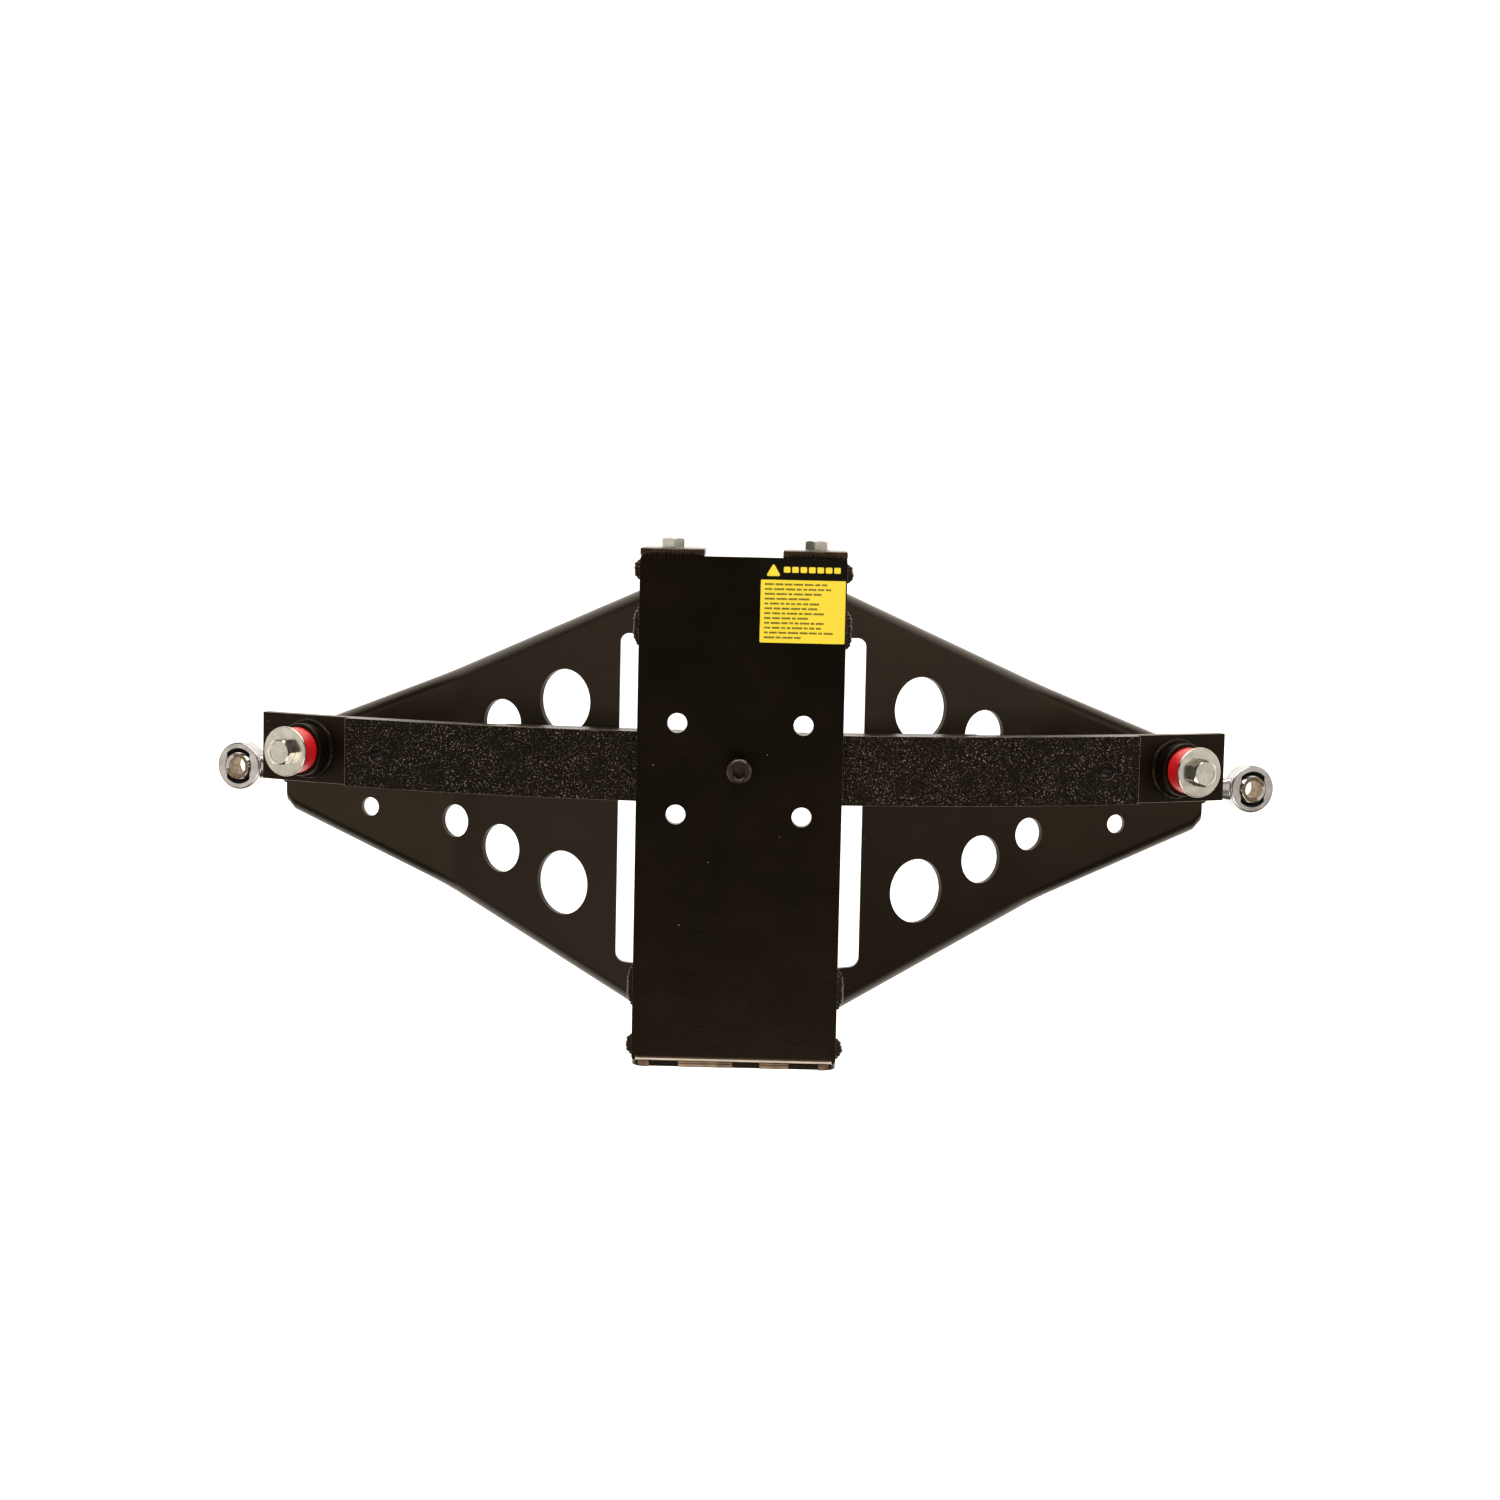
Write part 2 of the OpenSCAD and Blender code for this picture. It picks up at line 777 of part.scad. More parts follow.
module ball() {
    color("#c9c9c7") at_rod(ball_s) difference() {
        intersection() {
            sphere(d = ball_d);
            cylinder(d = 2 * ball_d, h = ball_w, center = true);
        }
        cylinder(d = ball_bore, h = 2 * ball_w, center = true);
    }
}

module left_arm_plate() { left_side() arm_plate(); }
module right_arm_plate() { arm_plate(); }
module left_front_tube() { left_side() hinge_tube(front_in_y, front_gap); }
module right_front_tube() { hinge_tube(front_in_y, front_gap); }
module left_rear_tube() { left_side() hinge_tube(rear_out_y, rear_gap); }
module right_rear_tube() { hinge_tube(rear_out_y, rear_gap); }
module left_front_bushing() { left_side() hinge_bushing(front_in_y, front_gap); }
module right_front_bushing() { hinge_bushing(front_in_y, front_gap); }
module left_rear_bushing() { left_side() hinge_bushing(rear_out_y, rear_gap); }
module right_rear_bushing() { hinge_bushing(rear_out_y, rear_gap); }
module left_bung() { left_side() bung(); }
module right_bung() { bung(); }
module left_jam_nut() { left_side() jam_nut(); }
module right_jam_nut() { jam_nut(); }
module left_rod_end() { left_side() rod_end(); }
module right_rod_end() { rod_end(); }
module left_race() { left_side() race(); }
module right_race() { race(); }
module left_ball() { left_side() ball(); }
module right_ball() { ball(); }

top_plate();
front_left_tab();
front_right_tab();
front_inner_plate();
rear_inner_plate();
rear_outer_plate();
rear_end_plate();
front_gussets();
rear_gussets();
bracket_welds();
caution_label();
upper_leaf();
main_leaf();
third_leaf();
spring_keeper();
centre_screw();
centre_nut();
spring_rivets();
left_upper_boss();
right_upper_boss();
left_lower_boss();
right_lower_boss();
left_upper_bushing();
right_upper_bushing();
left_lower_bushing();
right_lower_bushing();
left_king_bolt();
right_king_bolt();
left_king_washers();
right_king_washers();
left_king_sleeve();
right_king_sleeve();
left_king_nut();
right_king_nut();
front_hinge_bolts();
rear_hinge_bolts();
hinge_nuts();
hinge_washers();
hinge_sleeves();
left_arm_plate();
right_arm_plate();
left_front_tube();
right_front_tube();
left_rear_tube();
right_rear_tube();
left_front_bushing();
right_front_bushing();
left_rear_bushing();
right_rear_bushing();
left_bung();
right_bung();
left_jam_nut();
right_jam_nut();
left_rod_end();
right_rod_end();
left_race();
right_race();
left_ball();
right_ball();
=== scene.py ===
# %% [markdown]
# # A leaf-spring suspension unit
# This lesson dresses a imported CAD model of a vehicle's front suspension unit: a steel bracket, a
# leaf spring that lies across under it, and two hinged arms. The CAD model gives every size and
# place. Each step says what the real piece or finish is, how it could be made, and why this way
# was chosen.

# %% Load the fixed frame
import json
import math
import random

import bmesh
import bpy
from mathutils import Matrix, Vector


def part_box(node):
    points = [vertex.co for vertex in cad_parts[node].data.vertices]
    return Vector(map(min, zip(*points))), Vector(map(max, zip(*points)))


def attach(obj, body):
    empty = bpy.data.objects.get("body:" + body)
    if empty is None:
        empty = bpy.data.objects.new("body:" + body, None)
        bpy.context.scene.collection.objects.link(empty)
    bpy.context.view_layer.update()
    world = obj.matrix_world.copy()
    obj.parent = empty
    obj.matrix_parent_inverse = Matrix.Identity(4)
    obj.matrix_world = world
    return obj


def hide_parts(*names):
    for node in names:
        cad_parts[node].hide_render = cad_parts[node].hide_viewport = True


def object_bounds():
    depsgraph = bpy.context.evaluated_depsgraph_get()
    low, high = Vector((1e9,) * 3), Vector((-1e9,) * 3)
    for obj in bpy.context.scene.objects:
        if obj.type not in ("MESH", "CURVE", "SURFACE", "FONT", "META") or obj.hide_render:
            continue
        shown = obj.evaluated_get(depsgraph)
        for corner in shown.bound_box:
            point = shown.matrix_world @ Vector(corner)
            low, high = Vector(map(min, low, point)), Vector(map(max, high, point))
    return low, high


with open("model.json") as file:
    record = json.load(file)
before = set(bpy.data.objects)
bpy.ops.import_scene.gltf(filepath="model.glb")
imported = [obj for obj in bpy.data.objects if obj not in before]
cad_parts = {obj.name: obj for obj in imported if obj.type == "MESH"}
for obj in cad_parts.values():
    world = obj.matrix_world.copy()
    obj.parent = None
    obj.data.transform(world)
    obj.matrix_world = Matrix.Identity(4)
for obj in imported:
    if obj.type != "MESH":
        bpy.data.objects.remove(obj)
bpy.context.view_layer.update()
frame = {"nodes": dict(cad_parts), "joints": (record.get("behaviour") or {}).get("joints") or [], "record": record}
nodes = frame["nodes"]
bpy.ops.object.select_all(action="DESELECT")
MM = 0.001

# %% [markdown]
# ## Camera
# The unit lies flat and is seen from almost straight above, from a little towards its front. A
# long lens keeps the two ends nearly the same size. The camera's place follows from the point it
# looks at, its distance and three angles, so that each can be changed alone.

# %% Camera
look_at = Vector((6.4, 13.0, 0.0)) * MM
camera_distance = 1.756
camera_tilt = math.radians(5.4)
camera_yaw = math.radians(0.82)
camera_roll = math.radians(1.247)

camera_data = bpy.data.cameras.new("camera")
camera_data.lens = 66.98
camera_data.sensor_width = 36.0
camera = bpy.data.objects.new("camera", camera_data)
bpy.context.scene.collection.objects.link(camera)
away = Vector((
    math.sin(camera_yaw) * math.cos(camera_tilt),
    math.sin(camera_tilt),
    math.cos(camera_yaw) * math.cos(camera_tilt),
))
right = Vector((0, 1, 0)).cross(away).normalized()
up = away.cross(right)
turn = Matrix.Rotation(camera_roll, 3, away)
axes = Matrix((turn @ right, turn @ up, away)).transposed()
camera.matrix_world = Matrix.Translation(look_at + away * camera_distance) @ axes.to_4x4()
bpy.context.scene.camera = camera
print("camera at", [round(v, 3) for v in camera.location])

# %% [markdown]
# ## Colours and nodes
# Two small helpers serve every material. Colours are written as sRGB hex, as a paint shop or a
# web page gives them, but a shader counts light in linear numbers, so one function turns them. The
# other adds a shader node, sets its values and links it, which keeps each recipe short.

# %% Two helpers for materials
def linear(code):
    """A colour written as sRGB hex, as the linear numbers that a shader takes."""
    parts = [int(code[i:i + 2], 16) / 255 for i in (1, 3, 5)]
    return tuple(c / 12.92 if c < 0.04045 else ((c + 0.055) / 1.055) ** 2.4 for c in parts) + (1.0,)


def add(tree, kind, settings=None, links=None):
    """Adds a node, sets its properties and input values, and links its inputs."""
    made = tree.nodes.new(kind)
    for key, value in (settings or {}).items():
        if isinstance(key, str) and hasattr(made, key):
            setattr(made, key, value)
        else:
            made.inputs[key].default_value = value
    for key, source in (links or {}).items():
        tree.links.new(source, made.inputs[key])
    return made


print("white is", linear("#ffffff"))

# %% [markdown]
# ## Light
# A studio shot of black steel is lit from its ends. Light from the camera's side would mirror in
# the flat faces and turn them grey, so the sky above is dim. The leaf and the arms slope only to
# the left and right, so boxes on those sides are large and faint, and the strong ones stand in
# front and behind, where only rounded edges mirror them. The pale floor glows from below.

# %% Floor, sky and soft boxes
bpy.context.scene.view_settings.view_transform = "Standard"


def add_floor(width=14, gap=0.12):
    """A glowing floor, a gap below the unit and much wider than the frame."""
    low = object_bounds()[0][2]
    bpy.ops.mesh.primitive_plane_add(size=width, location=(0, 0, low - gap))
    floor = bpy.context.object
    floor.name = "studio_floor"
    paint = bpy.data.materials.new("pale glowing floor")
    paint.use_nodes = True
    shader = paint.node_tree.nodes["Principled BSDF"]
    shader.inputs["Base Color"].default_value = linear("#e8e6e2")
    shader.inputs["Roughness"].default_value = 0.9
    shader.inputs["Emission Color"].default_value = linear("#fffdfa")
    shader.inputs["Emission Strength"].default_value = 0.95
    floor.data.materials.append(paint)


def add_sky():
    """White where the camera sees it, and dim and warm as a light."""
    world = bpy.data.worlds.new("studio")
    world.use_nodes = True
    bpy.context.scene.world = world
    tree = world.node_tree
    tree.nodes.clear()
    dim = add(tree, "ShaderNodeBackground", {"Color": linear("#fff0dc"), "Strength": 0.04})
    white = add(tree, "ShaderNodeBackground", {"Color": (1, 1, 1, 1), "Strength": 1.0})
    path = add(tree, "ShaderNodeLightPath")
    mix = add(tree, "ShaderNodeMixShader", links={0: path.outputs["Is Camera Ray"]})
    tree.links.new(dim.outputs[0], mix.inputs[1])
    tree.links.new(white.outputs[0], mix.inputs[2])
    add(tree, "ShaderNodeOutputWorld", links={"Surface": mix.outputs[0]})


def add_soft_box(name, place, size, watts):
    """A rectangular lamp at a place, turned to face the unit."""
    lamp = bpy.data.lights.new(name, "AREA")
    lamp.shape = "RECTANGLE"
    lamp.size, lamp.size_y = size
    lamp.energy = watts
    lamp.color = linear("#fff6ea")[:3]
    holder = bpy.data.objects.new(name, lamp)
    bpy.context.scene.collection.objects.link(holder)
    holder.location = place
    holder.rotation_euler = Vector(place).to_track_quat("Z", "Y").to_euler()


add_floor()
add_sky()
add_soft_box("left_box", (-1.45, -0.1, 1.25), (1.3, 2.2), 8.5)
add_soft_box("right_box", (1.6, 0.3, 1.0), (1.2, 1.8), 7)
add_soft_box("front_box", (0.0, 1.5, 0.75), (2.4, 0.9), 33)
add_soft_box("rear_box", (0.2, -1.15, 1.5), (2.0, 0.9), 21)

# %% [markdown]
# ## Black powder coat
# The bracket is welded steel with a baked black powder coat. Powder melts into a skin that stays a
# little wavy, the orange peel, with waves about 2 mm long. A brown-black base under a medium gloss
# gives the eye soft, warm reflections. Handling adds dust specks and faint rubbed streaks. One
# recipe serves the bracket, the arms and the plain leaves, which differ in gloss and in grain.

# %% Black coats
def new_finish(name, **sockets):
    """A material with some of its shader's sockets set, and its shared object coordinates."""
    made = bpy.data.materials.new(name)
    made.use_nodes = True
    shader = made.node_tree.nodes["Principled BSDF"]
    for key, value in sockets.items():
        shader.inputs[key.replace("_", " ")].default_value = value
    place = add(made.node_tree, "ShaderNodeTexCoord").outputs["Object"]
    return made, made.node_tree, shader, place


def black_coat(name, deep, light, shine, gloss, peel_mm, peel, dust):
    """A baked or sprayed black coat, with its colours, gloss, orange peel and share of dust."""
    made, tree, shader, place = new_finish(name, Specular_IOR_Level=shine,
                                           Specular_Tint=linear("#ffe6c8"))
    cloud = add(tree, "ShaderNodeTexNoise", {"Scale": 1 / (45 * MM), "Detail": 4.0},
                {"Vector": place})
    tone = add(tree, "ShaderNodeMapRange", {"From Min": 0.35, "From Max": 0.68},
               {"Value": cloud.outputs["Fac"]})
    colour = add(tree, "ShaderNodeMix", {"data_type": "RGBA", 6: linear(deep), 7: linear(light)},
                 {0: tone.outputs[0]})
    # Dust: a few cells of a 9 mm grid hold a pale speck half a millimetre wide
    cells = add(tree, "ShaderNodeTexVoronoi", {"Scale": 1 / (9 * MM)}, {"Vector": place})
    near = add(tree, "ShaderNodeMath", {"operation": "LESS_THAN", 1: 0.034},
               {0: cells.outputs["Distance"]})
    chance = add(tree, "ShaderNodeSeparateColor", links={"Color": cells.outputs["Color"]})
    lucky = add(tree, "ShaderNodeMath", {"operation": "GREATER_THAN", 1: 1 - dust},
                {0: chance.outputs[0]})
    speck = add(tree, "ShaderNodeMath", {"operation": "MULTIPLY"},
                {0: near.outputs[0], 1: lucky.outputs[0]})
    dusty = add(tree, "ShaderNodeMix", {"data_type": "RGBA", 7: linear("#9c9488")},
                {0: speck.outputs[0], 6: colour.outputs[2]})
    # Rubbed streaks: noise drawn out along one direction, which dulls the gloss
    drawn = add(tree, "ShaderNodeMapping", {"Rotation": (0, 0, 0.5), "Scale": (1, 3, 1)},
                {"Vector": place})
    rub = add(tree, "ShaderNodeTexNoise", {"Scale": 1 / (40 * MM), "Detail": 3.0},
              {"Vector": drawn.outputs[0]})
    rough = add(tree, "ShaderNodeMapRange",
                {"From Min": 0.5, "From Max": 0.75, "To Min": gloss, "To Max": gloss + 0.03},
                {"Value": rub.outputs["Fac"]})
    waves = add(tree, "ShaderNodeTexNoise", {"Scale": 1 / (peel_mm * MM), "Detail": 2.0},
                {"Vector": place})
    bump = add(tree, "ShaderNodeBump", {"Strength": peel, "Distance": 0.12 * MM},
               {"Height": waves.outputs["Fac"]})
    tree.links.new(dusty.outputs[2], shader.inputs["Base Color"])
    tree.links.new(rough.outputs[0], shader.inputs["Roughness"])
    tree.links.new(bump.outputs[0], shader.inputs["Normal"])
    return made


powder_coat = black_coat("black powder coat", "#0b0704", "#130e09", 0.26, 0.27, 2.2, 0.6, 0.1)
arm_coat = black_coat("satin black paint", "#120c07", "#19120c", 0.34, 0.3, 1.4, 0.35, 0.04)
leaf_coat = black_coat("black spring paint", "#0b0704", "#110c07", 0.18, 0.32, 1.0, 0.4, 0.05)
print("black coats:", [m.name for m in (powder_coat, arm_coat, leaf_coat)])

# %% [markdown]
# ## Shot-peened leaf
# The upper leaf is peened: steel shot hammers its face into a skin of shallow craters about 1 mm
# wide, and gloss paint over them turns each rim into a spark of light. A displaced mesh fine enough
# for craters would be huge, so they are bump: two sizes of cells, with the paint kept very glossy.
# The sparks themselves are too fine to render, so pale specks are painted in as painted highlights.

# %% Shot-peened paint
def peened_paint():
    made, tree, shader, place = new_finish("gloss paint over shot-peened steel", Roughness=0.22,
                                           Specular_IOR_Level=0.16,
                                           Specular_Tint=linear("#ffe6c8"))
    pits = add(tree, "ShaderNodeTexVoronoi", {"Scale": 1 / (2.6 * MM)}, {"Vector": place})
    grit = add(tree, "ShaderNodeTexNoise", {"Scale": 1 / (1.1 * MM), "Detail": 2.0,
                                            "Roughness": 0.7}, {"Vector": place})
    both = add(tree, "ShaderNodeMath", {"operation": "ADD"},
               {0: pits.outputs["Distance"], 1: grit.outputs["Fac"]})
    bump = add(tree, "ShaderNodeBump", {"Strength": 1.0, "Distance": 0.5 * MM},
               {"Height": both.outputs[0]})
    # The sparks of light on the crater rims are finer than the render shows, so they are painted
    # highlights: the paint is paler there, in clusters, as shot falls
    painted_glint = add(tree, "ShaderNodeMapRange", {"From Min": 0.59, "From Max": 0.69},
                {"Value": grit.outputs["Fac"]})
    cluster = add(tree, "ShaderNodeTexNoise", {"Scale": 1 / (14 * MM), "Detail": 2.0},
                  {"Vector": place})
    where = add(tree, "ShaderNodeMapRange", {"From Min": 0.25, "From Max": 0.64},
                {"Value": cluster.outputs["Fac"]})
    amount = add(tree, "ShaderNodeMath", {"operation": "MULTIPLY"},
                 {0: painted_glint.outputs[0], 1: where.outputs[0]})
    colour = add(tree, "ShaderNodeMix",
                 {"data_type": "RGBA", 6: linear("#070503"), 7: linear("#978f86")},
                 {0: amount.outputs[0]})
    tree.links.new(colour.outputs[2], shader.inputs["Base Color"])
    tree.links.new(bump.outputs[0], shader.inputs["Normal"])
    return made


peened_coat = peened_paint()
print("peened coat:", peened_coat.name)

# %% [markdown]
# ## Zinc plate and bare steels
# Bolts, nuts and washers carry bright zinc with a clear, faintly yellow passivation: a soft mirror
# with a cloudy bloom and hairline scratches. The rod ends are forged and plated, with a finer
# satin. The balls are ground and hard-chromed, and the sleeves are plain drawn tube. The cap screw
# is black oxide: dark, with the metal's own shine. Paint draws back from a sharp edge, so brown
# steel shows through it on flame-cut and sheared edges. All are metals, so one recipe varies the
# colour, the gloss and the size of the bloom.

# %% Metals
def metal(name, dark, light, gloss, bloom_mm, scratch):
    """A bare or plated metal, with two tones, a bloom's width and hairline scratches."""
    made, tree, shader, place = new_finish(name, Metallic=1.0)
    bloom = add(tree, "ShaderNodeTexNoise", {"Scale": 1 / (bloom_mm * MM), "Detail": 5.0},
                {"Vector": place})
    tone = add(tree, "ShaderNodeMapRange", {"From Min": 0.35, "From Max": 0.65},
               {"Value": bloom.outputs["Fac"]})
    colour = add(tree, "ShaderNodeMix", {"data_type": "RGBA", 6: linear(dark), 7: linear(light)},
                 {0: tone.outputs[0]})
    rough = add(tree, "ShaderNodeMapRange",
                {"From Min": 0.3, "From Max": 0.7, "To Min": gloss + 0.04, "To Max": gloss},
                {"Value": bloom.outputs["Fac"]})
    drawn = add(tree, "ShaderNodeMapping", {"Rotation": (0.3, 0.2, 0.7), "Scale": (1, 14, 1)},
                {"Vector": place})
    hair = add(tree, "ShaderNodeTexNoise", {"Scale": 1 / (4 * MM), "Detail": 3.0},
               {"Vector": drawn.outputs[0]})
    bump = add(tree, "ShaderNodeBump", {"Strength": scratch, "Distance": 0.05 * MM},
               {"Height": hair.outputs["Fac"]})
    tree.links.new(colour.outputs[2], shader.inputs["Base Color"])
    tree.links.new(rough.outputs[0], shader.inputs["Roughness"])
    tree.links.new(bump.outputs[0], shader.inputs["Normal"])
    return made


zinc = metal("bright zinc plate", "#bdbcb4", "#d3d2ca", 0.2, 9, 0.04)
plated = metal("satin plated forging", "#b3b1b1", "#cbcacc", 0.22, 9, 0.04)
chromed = metal("ground chromed steel", "#a9a7a3", "#cfcdc9", 0.12, 6, 0.04)
tube_steel = metal("drawn steel tube", "#8c8a86", "#a8a6a1", 0.3, 4, 0.1)
black_oxide = metal("black oxide", "#5e4c40", "#8c7666", 0.26, 4, 0.05)
bored_steel = metal("bored steel", "#6e5d49", "#9a876f", 0.4, 2, 0.1)
flame_cut = metal("thin paint on a flame cut edge", "#6a5949", "#8c7b6a", 0.4, 8, 0.1)
sheared = metal("thin paint on a sheared edge", "#43362b", "#5c4b3d", 0.4, 8, 0.1)
print("metals:", [m.name for m in (zinc, plated, chromed, tube_steel, black_oxide,
                                    bored_steel, flame_cut, sheared)])

# %% [markdown]
# ## Red polyurethane, liner and label
# The bushings are cast red polyurethane: a dense, slightly clear rubber with a soft sheen and fine
# casting ripples. The race in the rod end is a dark moulded liner. Pale cream on some rounded edges
# is a painted highlight, and a paler cream on the plate's rear edge is a brighter painted highlight.
# The label is printed vinyl, a smooth film with flat ink, so its three inks differ in colour and a
# little in gloss.

# %% Rubber, liner and inks
def moulded(name, dark, light, gloss, grain_mm, grain, **sockets):
    made, tree, shader, place = new_finish(name, **sockets)
    cloud = add(tree, "ShaderNodeTexNoise", {"Scale": 1 / (grain_mm * MM), "Detail": 3.0},
                {"Vector": place})
    colour = add(tree, "ShaderNodeMix", {"data_type": "RGBA", 6: linear(dark), 7: linear(light)},
                 {0: cloud.outputs["Fac"]})
    rough = add(tree, "ShaderNodeMapRange", {"To Min": gloss - 0.06, "To Max": gloss + 0.06},
                {"Value": cloud.outputs["Fac"]})
    bump = add(tree, "ShaderNodeBump", {"Strength": grain, "Distance": 0.1 * MM},
               {"Height": cloud.outputs["Fac"]})
    tree.links.new(colour.outputs[2], shader.inputs["Base Color"])
    tree.links.new(rough.outputs[0], shader.inputs["Roughness"])
    tree.links.new(bump.outputs[0], shader.inputs["Normal"])
    return made


red_rubber = moulded("cast red polyurethane", "#c3101a", "#dc2028", 0.36, 2.5, 0.2, Coat_Weight=0.2)
liner = moulded("dark moulded liner", "#0c0b0b", "#171515", 0.5, 0.8, 0.3)
yellow_ink = moulded("yellow vinyl", "#fde23a", "#ffe94c", 0.4, 6, 0.03)
black_ink = moulded("black vinyl ink", "#0b0805", "#110d08", 0.35, 6, 0.05,
                    Specular_IOR_Level=0.2)
# The next two creams are painted highlights for rounded edges; the paler one is for the plate's rear edge
painted_edge_highlight = moulded("painted highlight on an edge", "#a8957f", "#c2b09a", 0.4, 8, 0.05)
painted_bright_edge_highlight = moulded("painted bright highlight on an edge", "#efe2d0", "#f6ebdc", 0.5, 8, 0.05)
grey_ink = moulded("thin black print", "#17140a", "#1f1b0c", 0.45, 2, 0.03)

finishes = {
    "bracket_paint": powder_coat, "arm_paint": arm_coat, "leaf_paint": leaf_coat,
    "upper_leaf_paint": peened_coat, "zinc": zinc, "black_oxide": black_oxide,
    "rivet_steel": leaf_coat, "bare_steel": tube_steel, "plated_steel": plated,
    "ball_steel": chromed, "liner": liner, "red_polyurethane": red_rubber, "label": black_ink,
}
slots = {entry["node"]: entry["material_slot"] for entry in frame["record"]["subparts"]}
for name, node in nodes.items():
    node.data.materials.clear()
    node.data.materials.append(finishes[slots[name]])
print(len(finishes), "finishes on", len(nodes), "nodes")

# %% [markdown]
# ## Working on one piece at a time
# Every operator acts on all that is selected, so the first helper selects one piece and nothing
# else. In edit mode a test picks vertices, edges or faces by where they are or which way they
# face. Modifiers are added, set and applied in one call, so that each piece ends as a plain mesh.

# %% Helpers for modelling
body_of = {n: body for body, names in frame["record"]["behaviour"]["bodies"].items() for n in names}


def alone(piece):
    """Makes one piece the only selected one, and the active one."""
    if bpy.context.mode != "OBJECT":
        bpy.ops.object.mode_set(mode="OBJECT")
    bpy.ops.object.select_all(action="DESELECT")
    piece.select_set(True)
    bpy.context.view_layer.objects.active = piece
    return piece


def edit(piece, kind="EDGE", test=None):
    """Opens a piece in edit mode, and selects what passes the test, or all of it."""
    alone(piece)
    bpy.ops.object.mode_set(mode="EDIT")
    bpy.ops.mesh.select_mode(type=kind)
    bpy.ops.mesh.select_all(action="SELECT" if test is None else "DESELECT")
    if test is None:
        return 0
    mesh = bmesh.from_edit_mesh(piece.data)
    mesh.normal_update()
    chosen = [item for item in {"VERT": mesh.verts, "EDGE": mesh.edges, "FACE": mesh.faces}[kind]
              if test(item)]
    for item in chosen:
        item.select_set(True)
    bmesh.update_edit_mesh(piece.data)
    return len(chosen)


def close():
    bpy.ops.object.mode_set(mode="OBJECT")


def climb(edge):
    """How far an edge rises from one end to the other."""
    return abs(edge.verts[0].co.z - edge.verts[1].co.z)


def round_edges(piece, test, radius, segments):
    """Rounds the edges that pass a test, with a radius in metres."""
    edit(piece, "EDGE", test)
    bpy.ops.mesh.bevel(offset=radius, segments=segments, affect="EDGES")
    close()


def modify(piece, kind, **settings):
    """Adds a modifier, sets it and applies it."""
    alone(piece)
    modifier = piece.modifiers.new(kind.lower(), kind)
    for key, value in settings.items():
        setattr(modifier, key, value)
    bpy.ops.object.modifier_apply(modifier=modifier.name)
    return piece


def combine(piece, other, operation="UNION"):
    """Adds, cuts or intersects two solids, and removes the second."""
    modify(piece, "BOOLEAN", object=other, operation=operation, solver="EXACT")
    bpy.data.objects.remove(other)
    return piece


def joined(pieces):
    alone(pieces[0])
    for piece in pieces[1:]:
        piece.select_set(True)
    if len(pieces) > 1:
        bpy.ops.object.join()
    return pieces[0]


def shade(piece, angle=35):
    """Smooth shading up to an angle, with each flat face left flat."""
    alone(piece)
    bpy.ops.object.shade_smooth_by_angle(angle=math.radians(angle))
    return modify(piece, "WEIGHTED_NORMAL", keep_sharp=True)


def soften(piece, radius, segments=3, angle=32):
    """Rounds every sharp edge of a piece, with a radius in millimetres."""
    return modify(piece, "BEVEL", width=radius * MM, segments=segments, limit_method="ANGLE",
                  angle_limit=math.radians(angle))


def settle(piece, name, place=None):
    """Names a piece and moves it to its place, with its object left at the origin."""
    alone(piece)
    if place is not None:
        bpy.context.view_layer.update()
        piece.matrix_world = place @ piece.matrix_world
    bpy.ops.object.transform_apply(location=True, rotation=True, scale=True)
    piece.name = name
    return piece


def finish(piece, like, replaced=()):
    """Gives a piece a CAD node's finish if it has none, puts it on the node's body, and hides the nodes it
    replaces.
    """
    if not piece.data.materials:
        piece.data.materials.append(finishes[slots[like]])
    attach(piece, body_of[like])
    if replaced:
        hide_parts(*replaced)
    return piece


def turned(axis, origin):
    """A place with its Z along an axis and its X outwards, away from the unit's middle."""
    z = Vector(axis).normalized()
    out = Vector((1 if origin[0] > 0 else -1, 0, 0))
    x = (out - z * out.dot(z)).normalized()
    return Matrix.Translation(origin) @ Matrix((x, z.cross(x), z)).transposed().to_4x4()


def reach(node, place):
    """The lowest and highest corner of a CAD node, measured along a place's own axes."""
    back = place.inverted()
    points = [back @ v.co for v in nodes[node].data.vertices]
    return [Vector([limit(p[i] for p in points) for i in range(3)]) for limit in (min, max)]


def cylinder(radius, low, high, sides=64, tip=None):
    """A cylinder, or a cone that narrows to a tip radius, from one height to another."""
    size = {"depth": high - low, "location": (0, 0, (low + high) / 2), "vertices": sides}
    if tip is None:
        bpy.ops.mesh.primitive_cylinder_add(radius=radius, **size)
    else:
        bpy.ops.mesh.primitive_cone_add(radius1=radius, radius2=tip, **size)
    return bpy.context.object


print("helpers ready for", len(body_of), "nodes")

# %% [markdown]
# ## Rounded edges on plates, leaves and turned pieces
# Sheared plate, rolled leaf and turned parts never have a knife edge: paint and tumbling leave a
# radius of about a millimetre, and it is this radius that catches the light. The CAD solids are
# right in all else, so a copy of each is cleaned, its flat faces are made whole again, and one
# Bevel modifier rounds its edges. Each family of pieces has its own radius.

# %% Rounded copies of CAD nodes
def copy_of(node, name):
    """A copy of a CAD node with its loose triangles merged and its flat faces made whole."""
    piece = bpy.data.objects.new(name, nodes[node].data.copy())
    bpy.context.scene.collection.objects.link(piece)
    piece.data.materials.clear()
    edit(piece)
    bpy.ops.mesh.remove_doubles(threshold=0.001 * MM)
    bpy.ops.mesh.dissolve_limited(angle_limit=math.radians(0.4))
    close()
    return piece


